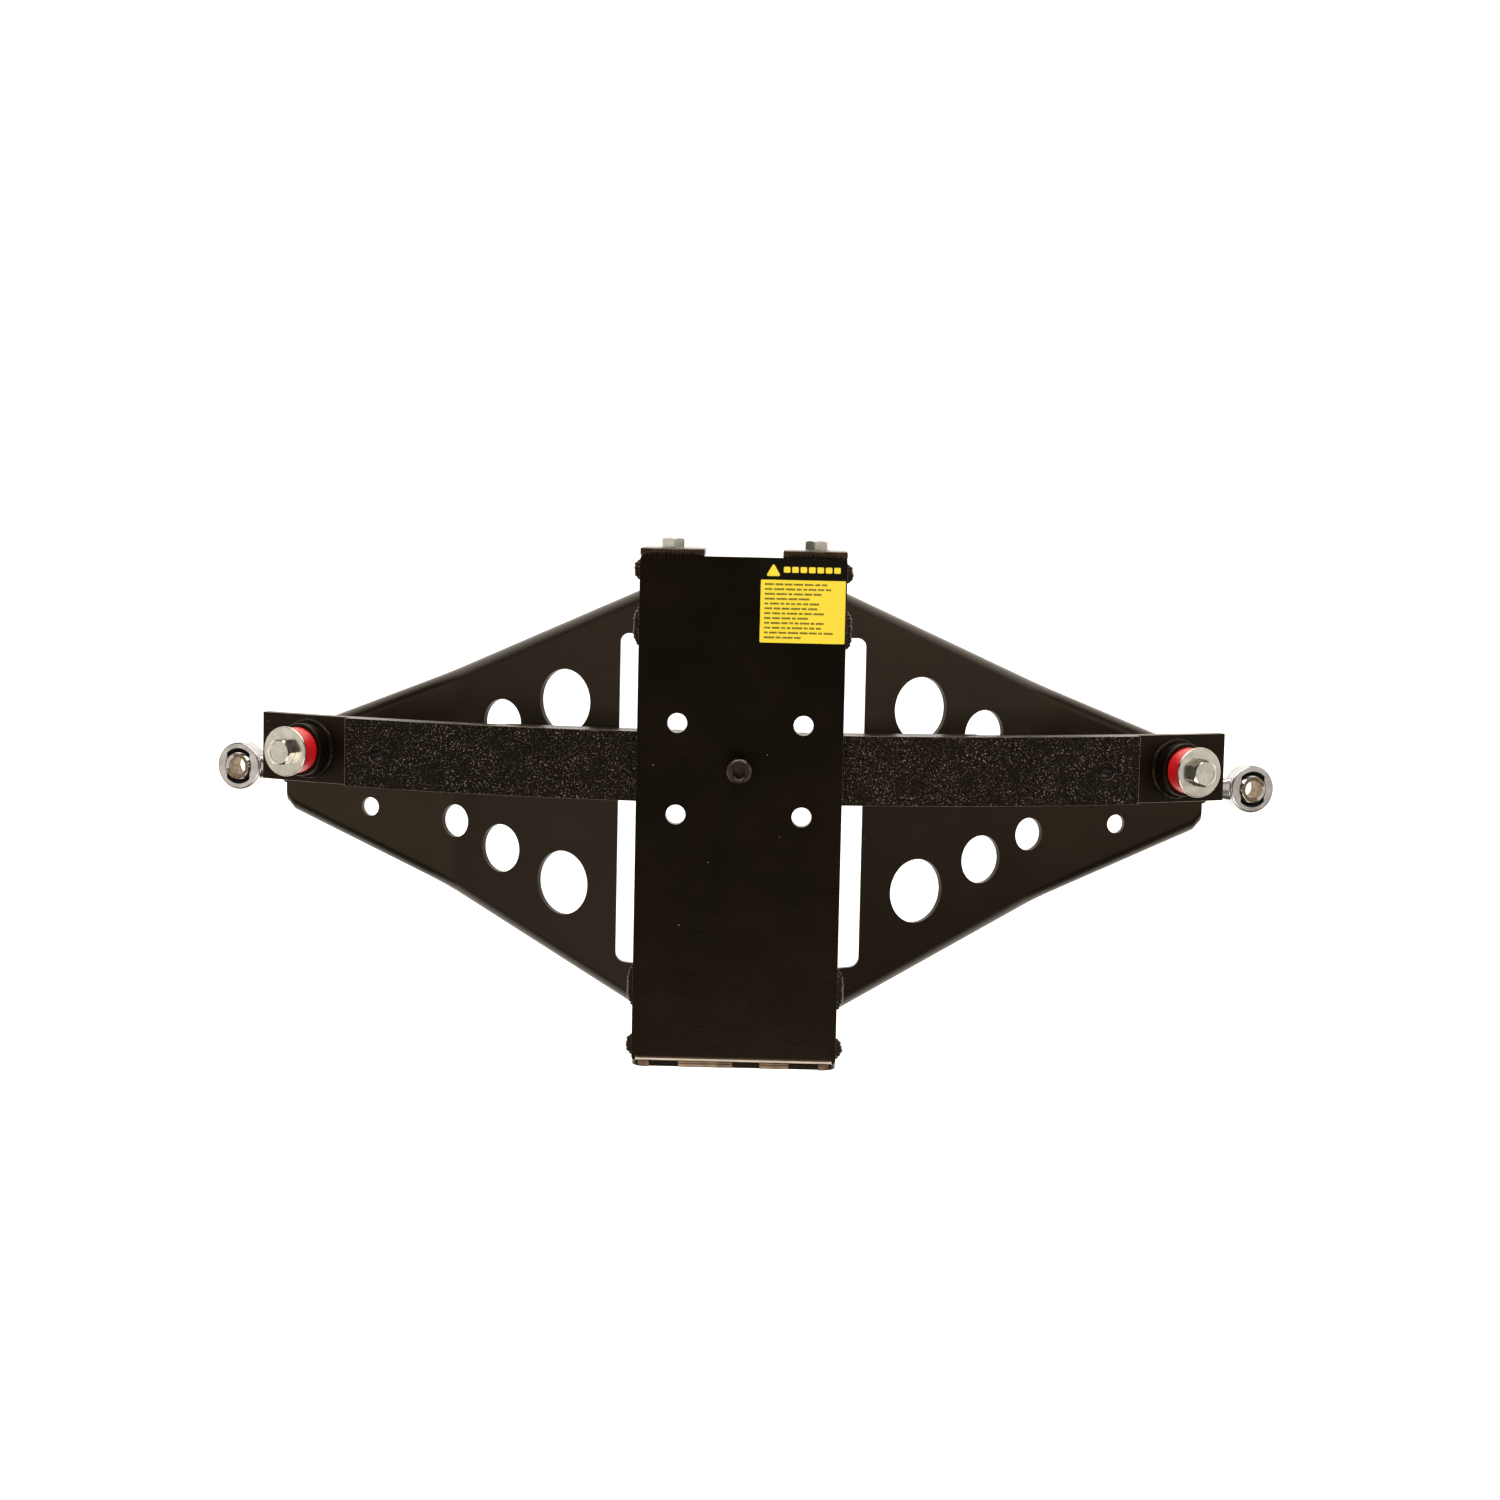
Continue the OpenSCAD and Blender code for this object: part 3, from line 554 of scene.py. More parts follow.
edge_radius = {
    "top_plate": 1.1, "front_left_tab": 0.8, "front_right_tab": 0.8, "front_inner_plate": 0.8,
    "rear_inner_plate": 0.8, "rear_outer_plate": 0.8, "front_gussets": 0.8, "rear_gussets": 0.8,
    "upper_leaf": 1.0, "main_leaf": 0.9, "third_leaf": 0.9, "spring_keeper": 1.0,
    "centre_nut": 0.3, "spring_rivets": 0.7, "hinge_nuts": 0.3, "hinge_washers": 0.5,
}
for side in ("left", "right"):
    for part, radius in {"upper_boss": 0.8, "lower_boss": 0.8, "upper_bushing": 1.4,
                         "lower_bushing": 1.2, "king_washers": 0.7, "king_nut": 0.3,
                         "front_tube": 0.5, "rear_tube": 0.5, "front_bushing": 0.7,
                         "rear_bushing": 0.7, "bung": 0.6, "jam_nut": 0.3}.items():
        edge_radius[f"{side}_{part}"] = radius


def second_finish(piece, other_finish, test):
    """Shows a second finish on the faces that pass a test."""
    piece.data.materials.append(other_finish)
    for face in piece.data.polygons:
        if test(face):
            face.material_index = len(piece.data.materials) - 1


plate_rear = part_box("top_plate")[0].y
plate_rear_radius = 3 * MM
leaf_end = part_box("upper_leaf")[1].x
# On the top plate and the leaves, rounded edge faces that look to the sides, to the front or to the rear get a
# painted highlight in pale cream, brightest on the plate's rear edge. The tabs' tops get the brown of a sheared
# edge.
painted_highlights_and_cut_edges = {
    "top_plate": [
        (painted_edge_highlight, lambda f: 0.15 < f.normal.z < 0.95
         and (abs(f.normal.x) > 0.2 or f.normal.y < -0.2)),
        (painted_bright_edge_highlight, lambda f: f.normal.z > 0.1 and f.normal.y < -0.2
         and f.center.y < plate_rear + plate_rear_radius + 0.2 * MM),
    ],
    "upper_leaf": [(painted_edge_highlight, lambda f: f.normal.z > 0.25
                    and (abs(f.normal.y) > 0.3 or abs(f.center.x) > leaf_end - 1.1 * MM))],
    "main_leaf": [(painted_edge_highlight, lambda f: 0.25 < f.normal.z < 0.95 and abs(f.normal.y) > 0.3)],
    "front_left_tab": [(sheared, lambda f: f.normal.z > 0.3)],
    "front_right_tab": [(sheared, lambda f: f.normal.z > 0.3)],
}
for node, radius in edge_radius.items():
    rounded = copy_of(node, f"rounded_{node}")
    if node == "top_plate":
        round_edges(rounded, lambda e: all(v.co.y < plate_rear + 0.1 * MM and v.co.z > -MM
                                           for v in e.verts), plate_rear_radius, 4)
    soften(rounded, radius)
    if node in painted_highlights_and_cut_edges:
        rounded.data.materials.append(finishes[slots[node]])
    # The second finish is a painted highlight on the plate and the leaves, and sheared steel on the tabs
    for below, test in painted_highlights_and_cut_edges.get(node, ()):
        second_finish(rounded, below, test)
    finish(shade(rounded), node, [node])
print(len(edge_radius), "rounded pieces")

# %% [markdown]
# ## Pressed arms
# Each arm is one sheet of 3.5 mm steel, pressed so that its long edges turn down and its middle
# has a soft crease, with lightening holes punched in it. It could be a bevelled copy of the CAD
# solid, but a bevel that meets punched holes tears. So it is modelled as the press makes it: a
# strip is extruded from station to station, its edges are extruded down and rolled with a bevel,
# Solidify gives the sheet its thickness, and the holes are cut last.

# %% The arm's sizes
hinge_low, hinge_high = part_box("right_front_tube")
hinge = (hinge_low + hinge_high) / 2
arm_low, arm_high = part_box("right_arm_plate")
arm_middle_y = (arm_low.y + arm_high.y) / 2
tube_radius = (hinge_high.z - hinge_low.z) / 2
slope_in, slope_out = math.radians(34), math.radians(19)
bend_at, tip_at, tip_chamfer = 186 * MM, 308.5 * MM, 6 * MM
sheet, lip_depth, roll_radius = 3.5 * MM, 20 * MM, 8 * MM
tip_half_width, tip_inset, taper = 27 * MM, 4.5 * MM, 0.385
slot_end, slot_length, slot_corner = 40 * MM, 214 * MM, 6 * MM
# Each hole's diameter, distance along the arm and distance from its middle, in millimetres
holes = [(42, 84, 60), (32, 137, 42), (22, 177, 27), (12.7, 243.5, 21.5)]


def half_width(s):
    return tip_half_width + (tip_at - tip_inset - s) * taper


def on_arm(s, w=0.0, rise=0.0):
    """The point at a distance s along the right arm, w across it and a rise above its middle."""
    inner, outer = min(s, bend_at), max(0.0, s - bend_at)
    slope = slope_out if s > bend_at else slope_in
    return Vector((
        hinge.x + inner * math.cos(slope_in) + outer * math.cos(slope_out) + rise * math.sin(slope),
        arm_middle_y + w,
        hinge.z - inner * math.sin(slope_in) - outer * math.sin(slope_out) + rise * math.cos(slope),
    ))


print("arm tip at", [round(v / MM, 1) for v in on_arm(tip_at)])


# %% The pressed sheet
def arm_sheet():
    """The outer skin of the right arm, from the hinge to the tip, with its edges turned down."""
    start, lip_start, bend_radius = 10.5 * MM, 22 * MM, 11 * MM
    stations = [start, lip_start, bend_at, tip_at - tip_chamfer, tip_at]
    widths = [half_width(s) for s in stations]
    widths[-1] = widths[-2] - tip_chamfer
    places = [on_arm(s, 0, sheet / 2) for s in stations]
    half = (slope_in + slope_out) / 2
    rise = sheet / 2 / math.cos((slope_in - slope_out) / 2)
    places[2] = on_arm(bend_at) + Vector((rise * math.sin(half), 0, rise * math.cos(half)))
    bpy.ops.mesh.primitive_plane_add(size=1)
    skin = bpy.context.object
    for i, (at, way) in enumerate(((0, -1), (1, -1), (0, 1), (1, 1))):
        spot = places[at]
        skin.data.vertices[i].co = (spot.x, spot.y + way * widths[at], spot.z)
    for i in range(2, len(stations)):
        step = places[i] - places[i - 1]
        edit(skin, "EDGE", lambda e: all(abs(v.co.x - places[i - 1].x) < 0.01 * MM
                                         for v in e.verts))
        bpy.ops.mesh.extrude_region_move(TRANSFORM_OT_translate={"value": step})
        bpy.ops.transform.resize(value=(1, widths[i] / widths[i - 1], 1),
                                 center_override=places[i])
        close()
    round_edges(skin, lambda e: all(abs(v.co.x - places[2].x) < 0.01 * MM for v in e.verts),
                bend_radius, 5)
    edit(skin, "EDGE", lambda e: len(e.link_faces) == 1
         and abs(e.verts[0].co.x - e.verts[1].co.x) > 0.01 * MM
         and min(v.co.x for v in e.verts) > places[1].x - 0.01 * MM)
    bpy.ops.mesh.extrude_region_move(TRANSFORM_OT_translate={"value": (0, 0, -lip_depth)})
    close()
    edit(skin, "EDGE", lambda e: len(e.link_faces) == 2
         and sorted(abs(f.normal.z) > 0.5 for f in e.link_faces) == [False, True])
    bpy.ops.mesh.bevel(offset=roll_radius, segments=6, affect="EDGES", clamp_overlap=False)
    bpy.ops.mesh.select_all(action="SELECT")
    bpy.ops.mesh.normals_make_consistent(inside=False)
    close()
    top = max(skin.data.polygons, key=lambda f: f.area)
    if top.normal.z < 0:
        edit(skin)
        bpy.ops.mesh.flip_normals()
        close()
    return skin


def arm_plate(side):
    """One arm: its sheet given a thickness, then cut for the tubes, the bracket and the holes."""
    arm = arm_sheet()
    modify(arm, "SOLIDIFY", thickness=sheet, offset=-1.0, use_even_offset=True)
    tube = cylinder(tube_radius, -0.4, 0.4, 96)
    combine(arm, settle(tube, "tube", Matrix.Translation(hinge)
                        @ Matrix.Rotation(math.radians(90), 4, "X")), "DIFFERENCE")
    slot_x = on_arm(slot_end).x
    bpy.ops.mesh.primitive_cube_add(size=1, location=(slot_x / 2, arm_middle_y, 0))
    slot = bpy.context.object
    slot.scale = (slot_x, slot_length, 0.5)
    settle(slot, "slot")
    round_edges(slot, lambda e: climb(e) > 0.1, slot_corner, 8)
    combine(arm, slot, "DIFFERENCE")
    for diameter, s, w in holes:
        for way in (-1, 1):
            slope = slope_out if s * MM > bend_at else slope_in
            punch = cylinder(diameter / 2 * MM, -8 * MM, 8 * MM, 72)
            settle(punch, "punch", Matrix.Translation(on_arm(s * MM, way * w * MM))
                   @ Matrix.Rotation(slope, 4, "Y"))
            combine(arm, punch, "DIFFERENCE")
    soften(arm, 0.5, 2, 50)
    if side == "left":
        settle(arm, "arm", Matrix.Translation((0, 2 * arm_middle_y, 0))
               @ Matrix.Rotation(math.radians(180), 4, "Z"))
    node = f"{side}_arm_plate"
    arm.name = f"pressed_{side}_arm"
    finish(shade(arm, 40), node, [node])
    print(arm.name, "has", len(arm.data.polygons), "faces")


for side in ("left", "right"):
    arm_plate(side)

# %% [markdown]
# ## Rear end plate
# The plate across the rear end is flame cut, and its top edge stands a little off the top plate,
# with its three notches cut down into it. The cut edge is rounder than the rest and its paint is
# thin there, so the faces that look up outside the notches get the brown of a flame-cut edge.

# %% Rear end plate
def rear_plate():
    plate = copy_of("rear_end_plate", "rounded_rear_end_plate")
    low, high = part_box("rear_end_plate")
    cut_radius = 1.6 * MM
    round_edges(plate, lambda e: all(v.co.z > high.z - 0.1 * MM for v in e.verts)
                and abs((e.verts[0].co - e.verts[1].co).x) > 3 * MM, cut_radius, 4)
    soften(plate, 0.4, 2, 40)
    plate.data.materials.append(powder_coat)
    second_finish(plate, flame_cut, lambda f: f.normal.z > 0.05
         and f.center.z > high.z - cut_radius - 0.1 * MM)
    finish(shade(plate), "rear_end_plate", ["rear_end_plate"])
    print("rear plate from", round(low.y / MM), "to", round(high.y / MM))


rear_plate()

# %% [markdown]
# ## Weld beads
# A weld bead is a row of frozen ripples, like coins pushed over. One squashed ball stands for each
# ripple; a row of them, each a little off its line, is joined and then voxel-remeshed into one
# skin, which melts them together as the real pool does. Straight beads run along the plates, and
# rings run round the spring's bosses.

# %% Welds
chance = random.Random(5)


def ripples(name, route, radius, voxel=0.5, squash=0.5, closed=False):
    """A bead of ripples along a list of points, with a radius in metres."""
    drops = []
    for i, point in enumerate(route):
        ahead = route[min(i + 1, len(route) - 1)] - route[max(i - 1, 0)]
        along = 0.0 if closed else abs(2 * i / (len(route) - 1) - 1)
        size = radius * chance.uniform(0.86, 1.0) * (1 - 0.6 * along ** 3)
        bpy.ops.mesh.primitive_uv_sphere_add(segments=20, ring_count=12, radius=size)
        drop = bpy.context.object
        lean = ahead.to_track_quat("Z", "Y").to_matrix().to_4x4()
        shift = Vector([chance.uniform(-0.06, 0.06) * radius for _ in range(3)])
        flat = Matrix.Diagonal((1, 1, squash, 1))
        drops.append(settle(drop, name, Matrix.Translation(point + shift) @ lean @ flat))
    bead = joined(drops)
    modify(bead, "REMESH", mode="VOXEL", voxel_size=voxel * MM)
    modify(bead, "SMOOTH", factor=0.5, iterations=2)
    alone(bead)
    bpy.ops.object.shade_smooth()
    return bead


def straight(start, end, step):
    count = max(2, round((end - start).length / step))
    return [start.lerp(end, i / count) for i in range(count + 1)]


def bracket_beads():
    """A bead in place of each of the CAD model's weld solids."""
    rough = copy_of("bracket_welds", "bead_solids")
    edit(rough)
    bpy.ops.mesh.separate(type="LOOSE")
    close()
    solids = list(bpy.context.selected_objects)
    beads = []
    for solid in solids:
        points = [v.co for v in solid.data.vertices]
        low = Vector([min(p[i] for p in points) for i in range(3)])
        high = Vector([max(p[i] for p in points) for i in range(3)])
        radius = (high.z - low.z) / 2
        x = low.x if low.x > 0 else high.x
        start, end = (Vector((x, y, (low.z + high.z) / 2))
                      for y in (low.y + 0.6 * radius, high.y - 0.6 * radius))
        beads.append(ripples("bead", straight(start, end, 2.3 * MM), radius))
        bpy.data.objects.remove(solid)
    bead = joined(beads)
    bead.name = "bracket_weld_beads"
    finish(bead, "bracket_welds", ["bracket_welds"])
    print(bead.name, len(bead.data.polygons), "faces")


def tab_beads():
    for side in ("left", "right"):
        low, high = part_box(f"front_{side}_tab")
        level, line = high.z - 1.0 * MM, low.y + 1.2 * MM
        route = straight(Vector((low.x + 1.5 * MM, line, level)),
                         Vector((high.x - 1.5 * MM, line, level)), 2.6 * MM)
        bead = ripples(f"{side}_tab_weld", route, 2.6 * MM, 0.45)
        finish(bead, f"front_{side}_tab")


def joints_of(ending):
    """The side and the joint, for both joints whose names have this ending."""
    return [(joint["name"].split("_")[0], joint) for joint in frame["joints"]
            if joint["name"].endswith(ending)]


def boss_rings(count=72):
    for side, joint in joints_of("king_turn"):
        place = turned(joint["axis"], joint["pos_m"])
        for part in ("upper", "lower"):
            low, high = reach(f"{side}_{part}_boss", place)
            radius = (high.x - low.x) / 2 + 0.6 * MM
            base = low.z if part == "upper" else high.z
            ring = [Vector((radius * math.cos(a), radius * math.sin(a), base))
                    for a in (i * math.tau / count for i in range(count + 1))]
            bead = ripples("ring", [place @ p for p in ring], 2.4 * MM, 0.5, 0.9, closed=True)
            bead.name = f"{side}_{part}_boss_weld"
            finish(bead, f"{side}_{part}_boss")


def ear_beads():
    """A bead where each hinge tube meets its arm, at an angle round the tube."""
    lean = math.radians(62)
    for side in ("left", "right"):
        plate_low, plate_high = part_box(f"{side}_arm_plate")
        for end in ("front", "rear"):
            low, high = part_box(f"{side}_{end}_tube")
            axis, radius = (low + high) / 2, (high.z - low.z) / 2
            out = 1 if axis.x > 0 else -1
            corner = axis + Vector((out * radius * math.sin(lean), 0, radius * math.cos(lean)))
            start = Vector((corner.x, max(low.y, plate_low.y) + 4 * MM, corner.z))
            stop = Vector((corner.x, min(high.y, plate_high.y) - 4 * MM, corner.z))
            route = straight(start, stop, 2.2 * MM)
            bead = ripples(f"{side}_{end}_ear_weld", route, 2.8 * MM)
            finish(bead, f"{side}_{end}_tube")


bracket_beads()
tab_beads()
boss_rings()
ear_beads()

# %% [markdown]
# ## Hexagon bolts
# A hexagon head is forged, and its top is turned off by a cone, which leaves six curved
# chamfers. So a six-sided prism is cut by a cone, and the crisp curves come by themselves. Three
# raised radial marks give the strength grade. The thread is one ring with two sloping faces,
# repeated by an Array, which looks like a thread at this size and stays a closed solid.

# %% Bolt parts
def hex_head(across, height):
    """A head on Z = 0, chamfered by a cone, with a washer face under it and marks on top."""
    head = cylinder(across / math.sqrt(3), 0.3 * MM, height, 6)
    round_edges(head, lambda e: climb(e) > height / 2, 0.35 * MM, 2)
    top = 0.47 * across
    combine(head, cylinder(top + 1.7 * height, 0, height, 96, top), "INTERSECT")
    combine(head, cylinder(0.49 * across, 0, 0.6 * MM))
    combine(head, cylinder(0.4 * across, height - 0.25 * MM, height + MM, 64), "DIFFERENCE")
    for i in range(3):
        bpy.ops.mesh.primitive_cube_add(size=1)
        mark = bpy.context.object
        mark.scale = (0.14 * across, 0.07 * across, 0.6 * MM)
        angle = i * math.tau / 3 + 0.4
        mark.rotation_euler.z = angle
        reach_out = 0.27 * across
        mark.location = (reach_out * math.cos(angle), reach_out * math.sin(angle),
                         height - 0.3 * MM)
        settle(mark, "mark")
        combine(head, soften(mark, 0.12, 2))
    return head


def thread(radius, low, high, pitch=1.6 * MM):
    """A threaded stretch from one height to another, with a chamfered end below."""
    root = radius - 0.6 * pitch
    lower = cylinder(root, low, low + pitch / 2, 48, radius)
    upper = cylinder(radius, low + pitch / 2, low + pitch, 48, root)
    for part, up in ((lower, 1), (upper, -1), (lower, -1), (upper, 1)):
        edit(part, "FACE", lambda f: f.normal.z * up > 0.9)
        bpy.ops.mesh.delete(type="FACE")
        close()
    ring = joined([lower, upper])
    count = max(1, int((high - low) / pitch))
    modify(ring, "ARRAY", count=count, use_relative_offset=False, use_constant_offset=True,
           constant_offset_displace=(0, 0, pitch), use_merge_vertices=True,
           merge_threshold=0.01 * MM)
    edit(ring)
    bpy.ops.mesh.remove_doubles(threshold=0.005 * MM)
    bpy.ops.mesh.select_all(action="DESELECT")
    bpy.ops.mesh.select_non_manifold()
    bpy.ops.mesh.edge_face_add()
    bpy.ops.mesh.select_all(action="SELECT")
    bpy.ops.mesh.fill_holes(sides=0)
    bpy.ops.mesh.normals_make_consistent(inside=False)
    close()
    return ring


def bolt(across, height, radius, length, threaded):
    """A whole bolt with its head on Z = 0 and its shank down, threaded at its lower end."""
    head = hex_head(across, height)
    shank = cylinder(radius, -length + threaded, 0.2 * MM, 48)
    return joined([head, shank, thread(radius, -length, -length + threaded)])


def king_bolts():
    for side, joint in joints_of("king_turn"):
        node = f"{side}_king_bolt"
        place = turned(joint["axis"], joint["pos_m"])
        low, high = reach(node, place)
        head_z = reach(f"{side}_king_washers", place)[1].z
        across = min(high.x - low.x, high.y - low.y)
        made = bolt(across, high.z - head_z, 5.5 * MM, head_z - low.z, 18 * MM)
        spin = Matrix.Rotation(math.radians(30 if side == "left" else 0), 4, "Z")
        settle(made, f"{side}_steering_bolt", place @ Matrix.Translation((0, 0, head_z)) @ spin)
        finish(shade(made, 30), node, [node])
        print(made.name, "across flats", round(across / MM, 2), "length", round(-low.z / MM, 1))


def hinge_bolts(end):
    """The two bolts at one end of the bracket, on which the arms hinge."""
    node = f"{end}_hinge_bolts"
    tubes = [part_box(f"{side}_{end}_tube") for side in ("left", "right")]
    low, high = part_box(node)
    way = 1 if end == "front" else -1
    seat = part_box("front_left_tab")[1].y if end == "front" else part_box("rear_outer_plate")[0].y
    outer = high.y if end == "front" else low.y
    tip = low.y if end == "front" else high.y
    made = []
    for tube_low, tube_high in tubes:
        x, z = (tube_low.x + tube_high.x) / 2, (tube_low.z + tube_high.z) / 2
        across = high.z - low.z
        piece = bolt(min(across, 14.3 * MM), abs(outer - seat), 4.7 * MM, abs(tip - seat), 16 * MM)
        spin = Matrix.Rotation(math.radians(12 if x < 0 else -12), 4, "Z")
        made.append(settle(piece, node, turned((0, way, 0), (x, seat, z)) @ spin))
    group = joined(made)
    group.name = f"{end}_hexagon_bolts"
    finish(shade(group, 30), node, [node])
    print(group.name, len(group.data.polygons), "faces")


king_bolts()
hinge_bolts("front")
hinge_bolts("rear")

# %% [markdown]
# ## Rod ends
# The rod end is forged: a round head with rounded rims, flattened into a neck that runs out to
# a rolled thread. Its bore has two loading slots on each face, through which the ball went in,
# and they show as dark crescents above and below the ball. The faces of the seat and the slots
# are painted near-black, a painted shade for the shade inside the head. The head, neck and thread
# are separate primitives that Boolean modifiers make one, and the slots are cut by a disc kept to
# two sectors.

# %% Rod ends
painted_recess_shade = moulded("painted shade in a recess", "#080707", "#100e0d", 0.6, 1.0, 0.3)
seat_radius, slot_radius, slot_width = 12.1 * MM, 12.6 * MM, 18 * MM


def bore_of(side):
    return next(m for m in frame["record"]["mounts"] if m["name"] == f"{side}_rod_bore")


def rod_end(side, joint):
    """A forged head, neck and thread, with a seat for the ball and its loading slots."""
    node = f"{side}_rod_end"
    bore = bore_of(side)
    place = turned(bore["axis"], joint["pos_m"])
    low, high = reach(node, place)
    radius, half = high.x, high.z
    neck = reach(f"{side}_jam_nut", place)[1].x
    tail = low.x
    head = cylinder(radius, -half, half, 96)
    round_edges(head, lambda e: climb(e) < 0.1 * MM, 1.5 * MM, 4)
    cone = cylinder(0.72 * radius, 0, 24 * MM, 64, 6.6 * MM)
    flat = Matrix.Diagonal((1, 0.94 * half / (0.72 * radius), 1, 1))
    lay = Matrix.Rotation(math.radians(-90), 4, "Y")
    settle(cone, "neck", lay @ Matrix.Rotation(math.radians(90), 4, "Z") @ flat)
    combine(head, cone)
    bpy.ops.mesh.primitive_uv_sphere_add(segments=96, ring_count=64, radius=seat_radius)
    combine(head, settle(bpy.context.object, "seat"), "DIFFERENCE")
    for z in (half, -half):
        slot = cylinder(slot_radius, z - 3 * MM, z + 3 * MM, 96)
        bpy.ops.mesh.primitive_cube_add(size=1, location=(0, 0, z))
        sector = bpy.context.object
        sector.scale = (slot_width, 40 * MM, 10 * MM)
        settle(sector, "sector")
        combine(slot, sector, "INTERSECT")
        combine(head, slot, "DIFFERENCE")
    shank = thread(6.3 * MM, 0, -22 * MM - tail)
    settle(shank, "shank", Matrix.Translation((tail, 0, 0)) @ Matrix.Rotation(
        math.radians(90), 4, "Y"))
    made = settle(joined([head, shank]), f"{side}_forged_rod_end", place)
    made.data.materials.append(plated)
    made.data.materials.append(painted_recess_shade)
    # The seat and the slots get a near-black painted shade
    back = place.inverted()
    for face in made.data.polygons:
        spot = back @ face.center
        inside = math.hypot(spot.x, spot.y) < slot_radius + 0.05 * MM
        if inside and abs(spot.z) < half - 0.05 * MM:
            face.material_index = 1
    finish(shade(made, 32), node, [node])
    print(made.name, "head", round(2 * radius / MM, 1), "mm")


def ball(side, joint):
    """A ground ball with two flats and a bore, on the rod end's axis."""
    node = f"{side}_ball"
    bore = bore_of(side)
    place = turned(bore["axis"], joint["pos_m"])
    half, bore_mm = bore["dims"]["length_mm"] / 2 * MM, bore["dims"]["r_mm"]
    radius = reach(node, place)[1].y
    bpy.ops.mesh.primitive_uv_sphere_add(segments=72, ring_count=48, radius=radius)
    made = bpy.context.object
    combine(made, cylinder(2 * radius, -half, half, 72), "INTERSECT")
    combine(made, cylinder(bore_mm * MM, -2 * half, 2 * half, 72), "DIFFERENCE")
    soften(made, 0.35, 2, 40)
    made.data.materials.append(chromed)
    second_finish(made, bored_steel, lambda f: math.hypot(f.center.x, f.center.y) < (bore_mm + 0.1) * MM)
    settle(made, f"{side}_ground_ball", place)
    finish(shade(made, 35), node, [node])
    print(made.name, "radius", round(radius / MM, 2))


for side, joint in joints_of("ball_tilt"):
    rod_end(side, joint)
    ball(side, joint)

# %% [markdown]
# ## Centre screw
# The spring hangs on a socket head cap screw. Its head is knurled so that fingers can grip it, its
# rim is turned off, and a hexagon socket is broached into it. A many-sided cylinder has every
# second edge drawn in for the knurl; a cone turns off the rim and a prism cuts the socket.

# %% Centre screw
def cap_screw(sides=96, shank_radius=4.9 * MM, threaded=22 * MM):
    low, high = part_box("centre_screw")
    radius, height = high.x, high.z
    head = cylinder(radius, 0, height, sides)
    edit(head, "EDGE", lambda e: climb(e) > height / 2
         and round(math.atan2(e.verts[0].co.y, e.verts[0].co.x) / math.tau * sides) % 2 == 0)
    bpy.ops.transform.resize(value=(0.95, 0.95, 1.0))
    close()
    top = 0.86 * radius
    combine(head, cylinder(top + height, 0, height, sides, top), "INTERSECT")
    combine(head, cylinder(0.5 * radius / math.cos(math.radians(30)), 0.45 * height,
                           height + MM, 6), "DIFFERENCE")
    combine(head, cylinder(0.62 * radius, height - 0.5 * MM, height + 0.5 * MM, 64,
                           0.74 * radius), "DIFFERENCE")
    shank = cylinder(shank_radius, low.z + threaded, 0.1 * MM, 48)
    made = joined([head, shank, thread(shank_radius, low.z, low.z + threaded, 1.5 * MM)])
    made.name = "knurled_cap_screw"
    made.data.materials.append(black_oxide)
    # The inside of the hexagon socket gets the same near-black painted shade
    second_finish(made, painted_recess_shade, lambda f: math.hypot(f.center.x, f.center.y) < 0.56 * radius
         and f.center.z < height - 0.55 * MM and f.center.z > 0.4 * height)
    finish(shade(made, 25), "centre_screw", ["centre_screw"])
    print(made.name, "head", round(2 * radius / MM, 1), "mm")


cap_screw()

# %% [markdown]
# ## Label
# A printed vinyl label lies on the front right corner of the plate. Its layout is kept, and its
# words are not: a black head with a plain yellow triangle and a row of blocks, and below it a
# yellow field with rows of small strokes where lines of print would be. Each ink is a film of its
# own, a few hundredths of a millimetre above the one below, as screen printing leaves it.

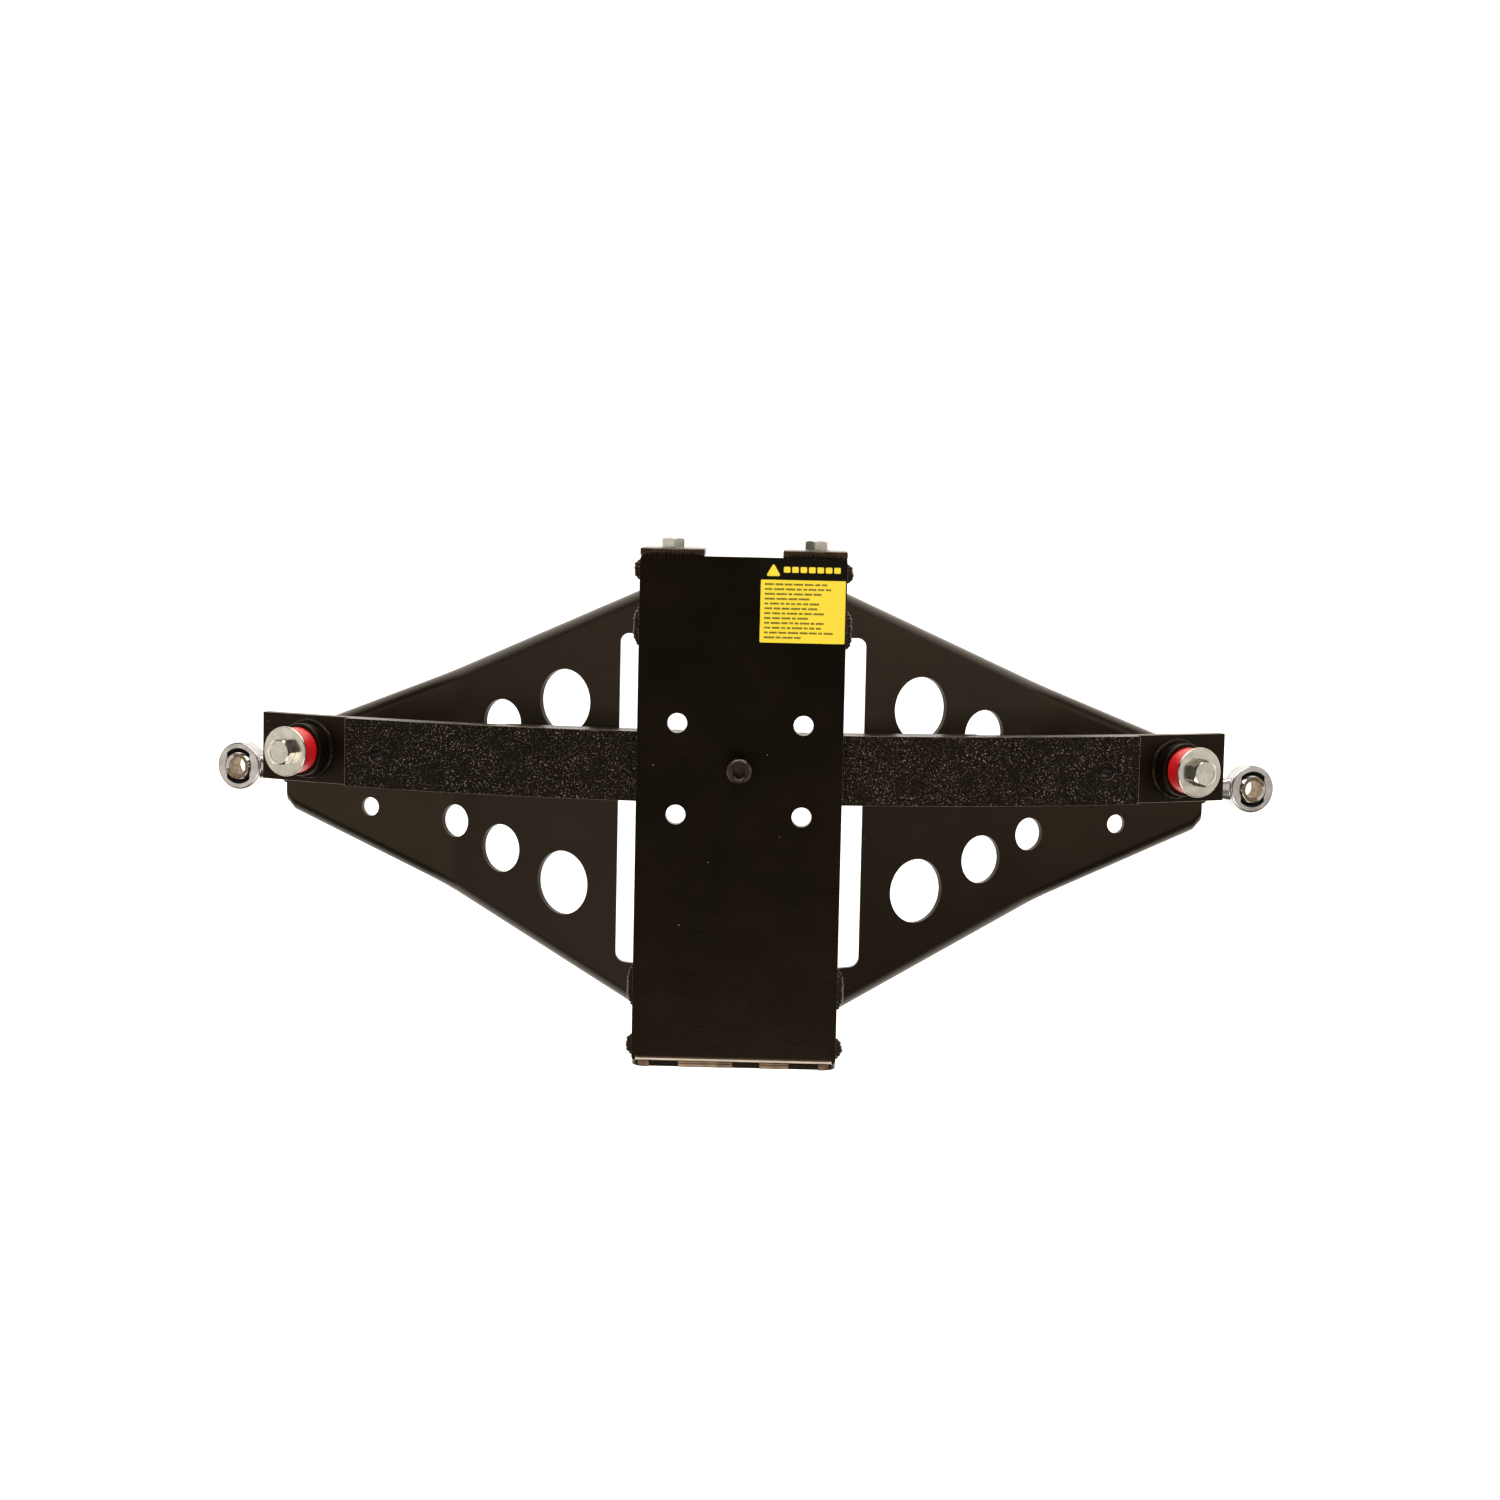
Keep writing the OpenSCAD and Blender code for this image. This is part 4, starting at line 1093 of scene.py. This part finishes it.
# %% Label
def film(x, y, level, ink, thickness=0.04):
    """A flat patch of ink between two x and two y places, from a height up."""
    bpy.ops.mesh.primitive_cube_add(size=1, location=((x[0] + x[1]) / 2, (y[0] + y[1]) / 2,
                                                      level + thickness * MM / 2))
    patch = bpy.context.object
    patch.scale = (x[1] - x[0], y[1] - y[0], thickness * MM)
    settle(patch, "patch")
    corner = min(0.6 * MM, 0.25 * min(x[1] - x[0], y[1] - y[0]))
    round_edges(patch, lambda e: climb(e) > 0.5 * thickness * MM, corner, 2)
    patch.data.materials.append(ink)
    return patch


def label():
    low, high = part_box("caution_label")
    base = copy_of("caution_label", "label_base")
    soften(base, 0.08, 2)
    base.data.materials.append(black_ink)
    top, width = high.z, high.x - low.x
    field_top = high.y - 13.2 * MM
    field = film((low.x + 0.4 * MM, high.x - 0.4 * MM), (low.y + 0.4 * MM, field_top), top,
                 yellow_ink)
    parts = [base, field]
    bpy.ops.mesh.primitive_cone_add(vertices=3, radius1=5.4 * MM, radius2=5.3 * MM,
                                    depth=0.04 * MM)
    triangle = bpy.context.object
    triangle.location = (low.x + 8.2 * MM, high.y - 8.2 * MM, top + 0.02 * MM)
    settle(triangle, "triangle")
    round_edges(triangle, lambda e: climb(e) > 0.02 * MM, 0.9 * MM, 3)
    triangle.data.materials.append(yellow_ink)
    parts.append(triangle)
    for i in range(7):
        x = low.x + (14.6 + i * 5.25) * MM
        parts.append(film((x, x + 4.1 * MM), (high.y - 8.6 * MM, high.y - 4.9 * MM), top,
                          yellow_ink))
    words = random.Random(11)
    row_step, rows = 3.03 * MM, 12
    step_mm, space_mm = 0.82, 0.9
    for row in range(rows):
        y = field_top - 3.4 * MM - row * row_step
        end = low.x + width * (0.5 if row % 4 == 3 else words.uniform(0.68, 0.8))
        x = low.x + 3.0 * MM
        while x < end:
            strokes = words.randint(3, 8)
            word = film((x, x + 0.62 * MM), (y, y + 1.25 * MM), top + 0.04 * MM, grey_ink, 0.03)
            modify(word, "ARRAY", count=strokes, use_relative_offset=False,
                   use_constant_offset=True, constant_offset_displace=(step_mm * MM, 0, 0))
            parts.append(word)
            x += (strokes * step_mm + space_mm) * MM
    made = joined(parts)
    made.name = "printed_label"
    finish(made, "caution_label", ["caution_label"])
    print(made.name, "has", len(parts), "patches of ink")


label()
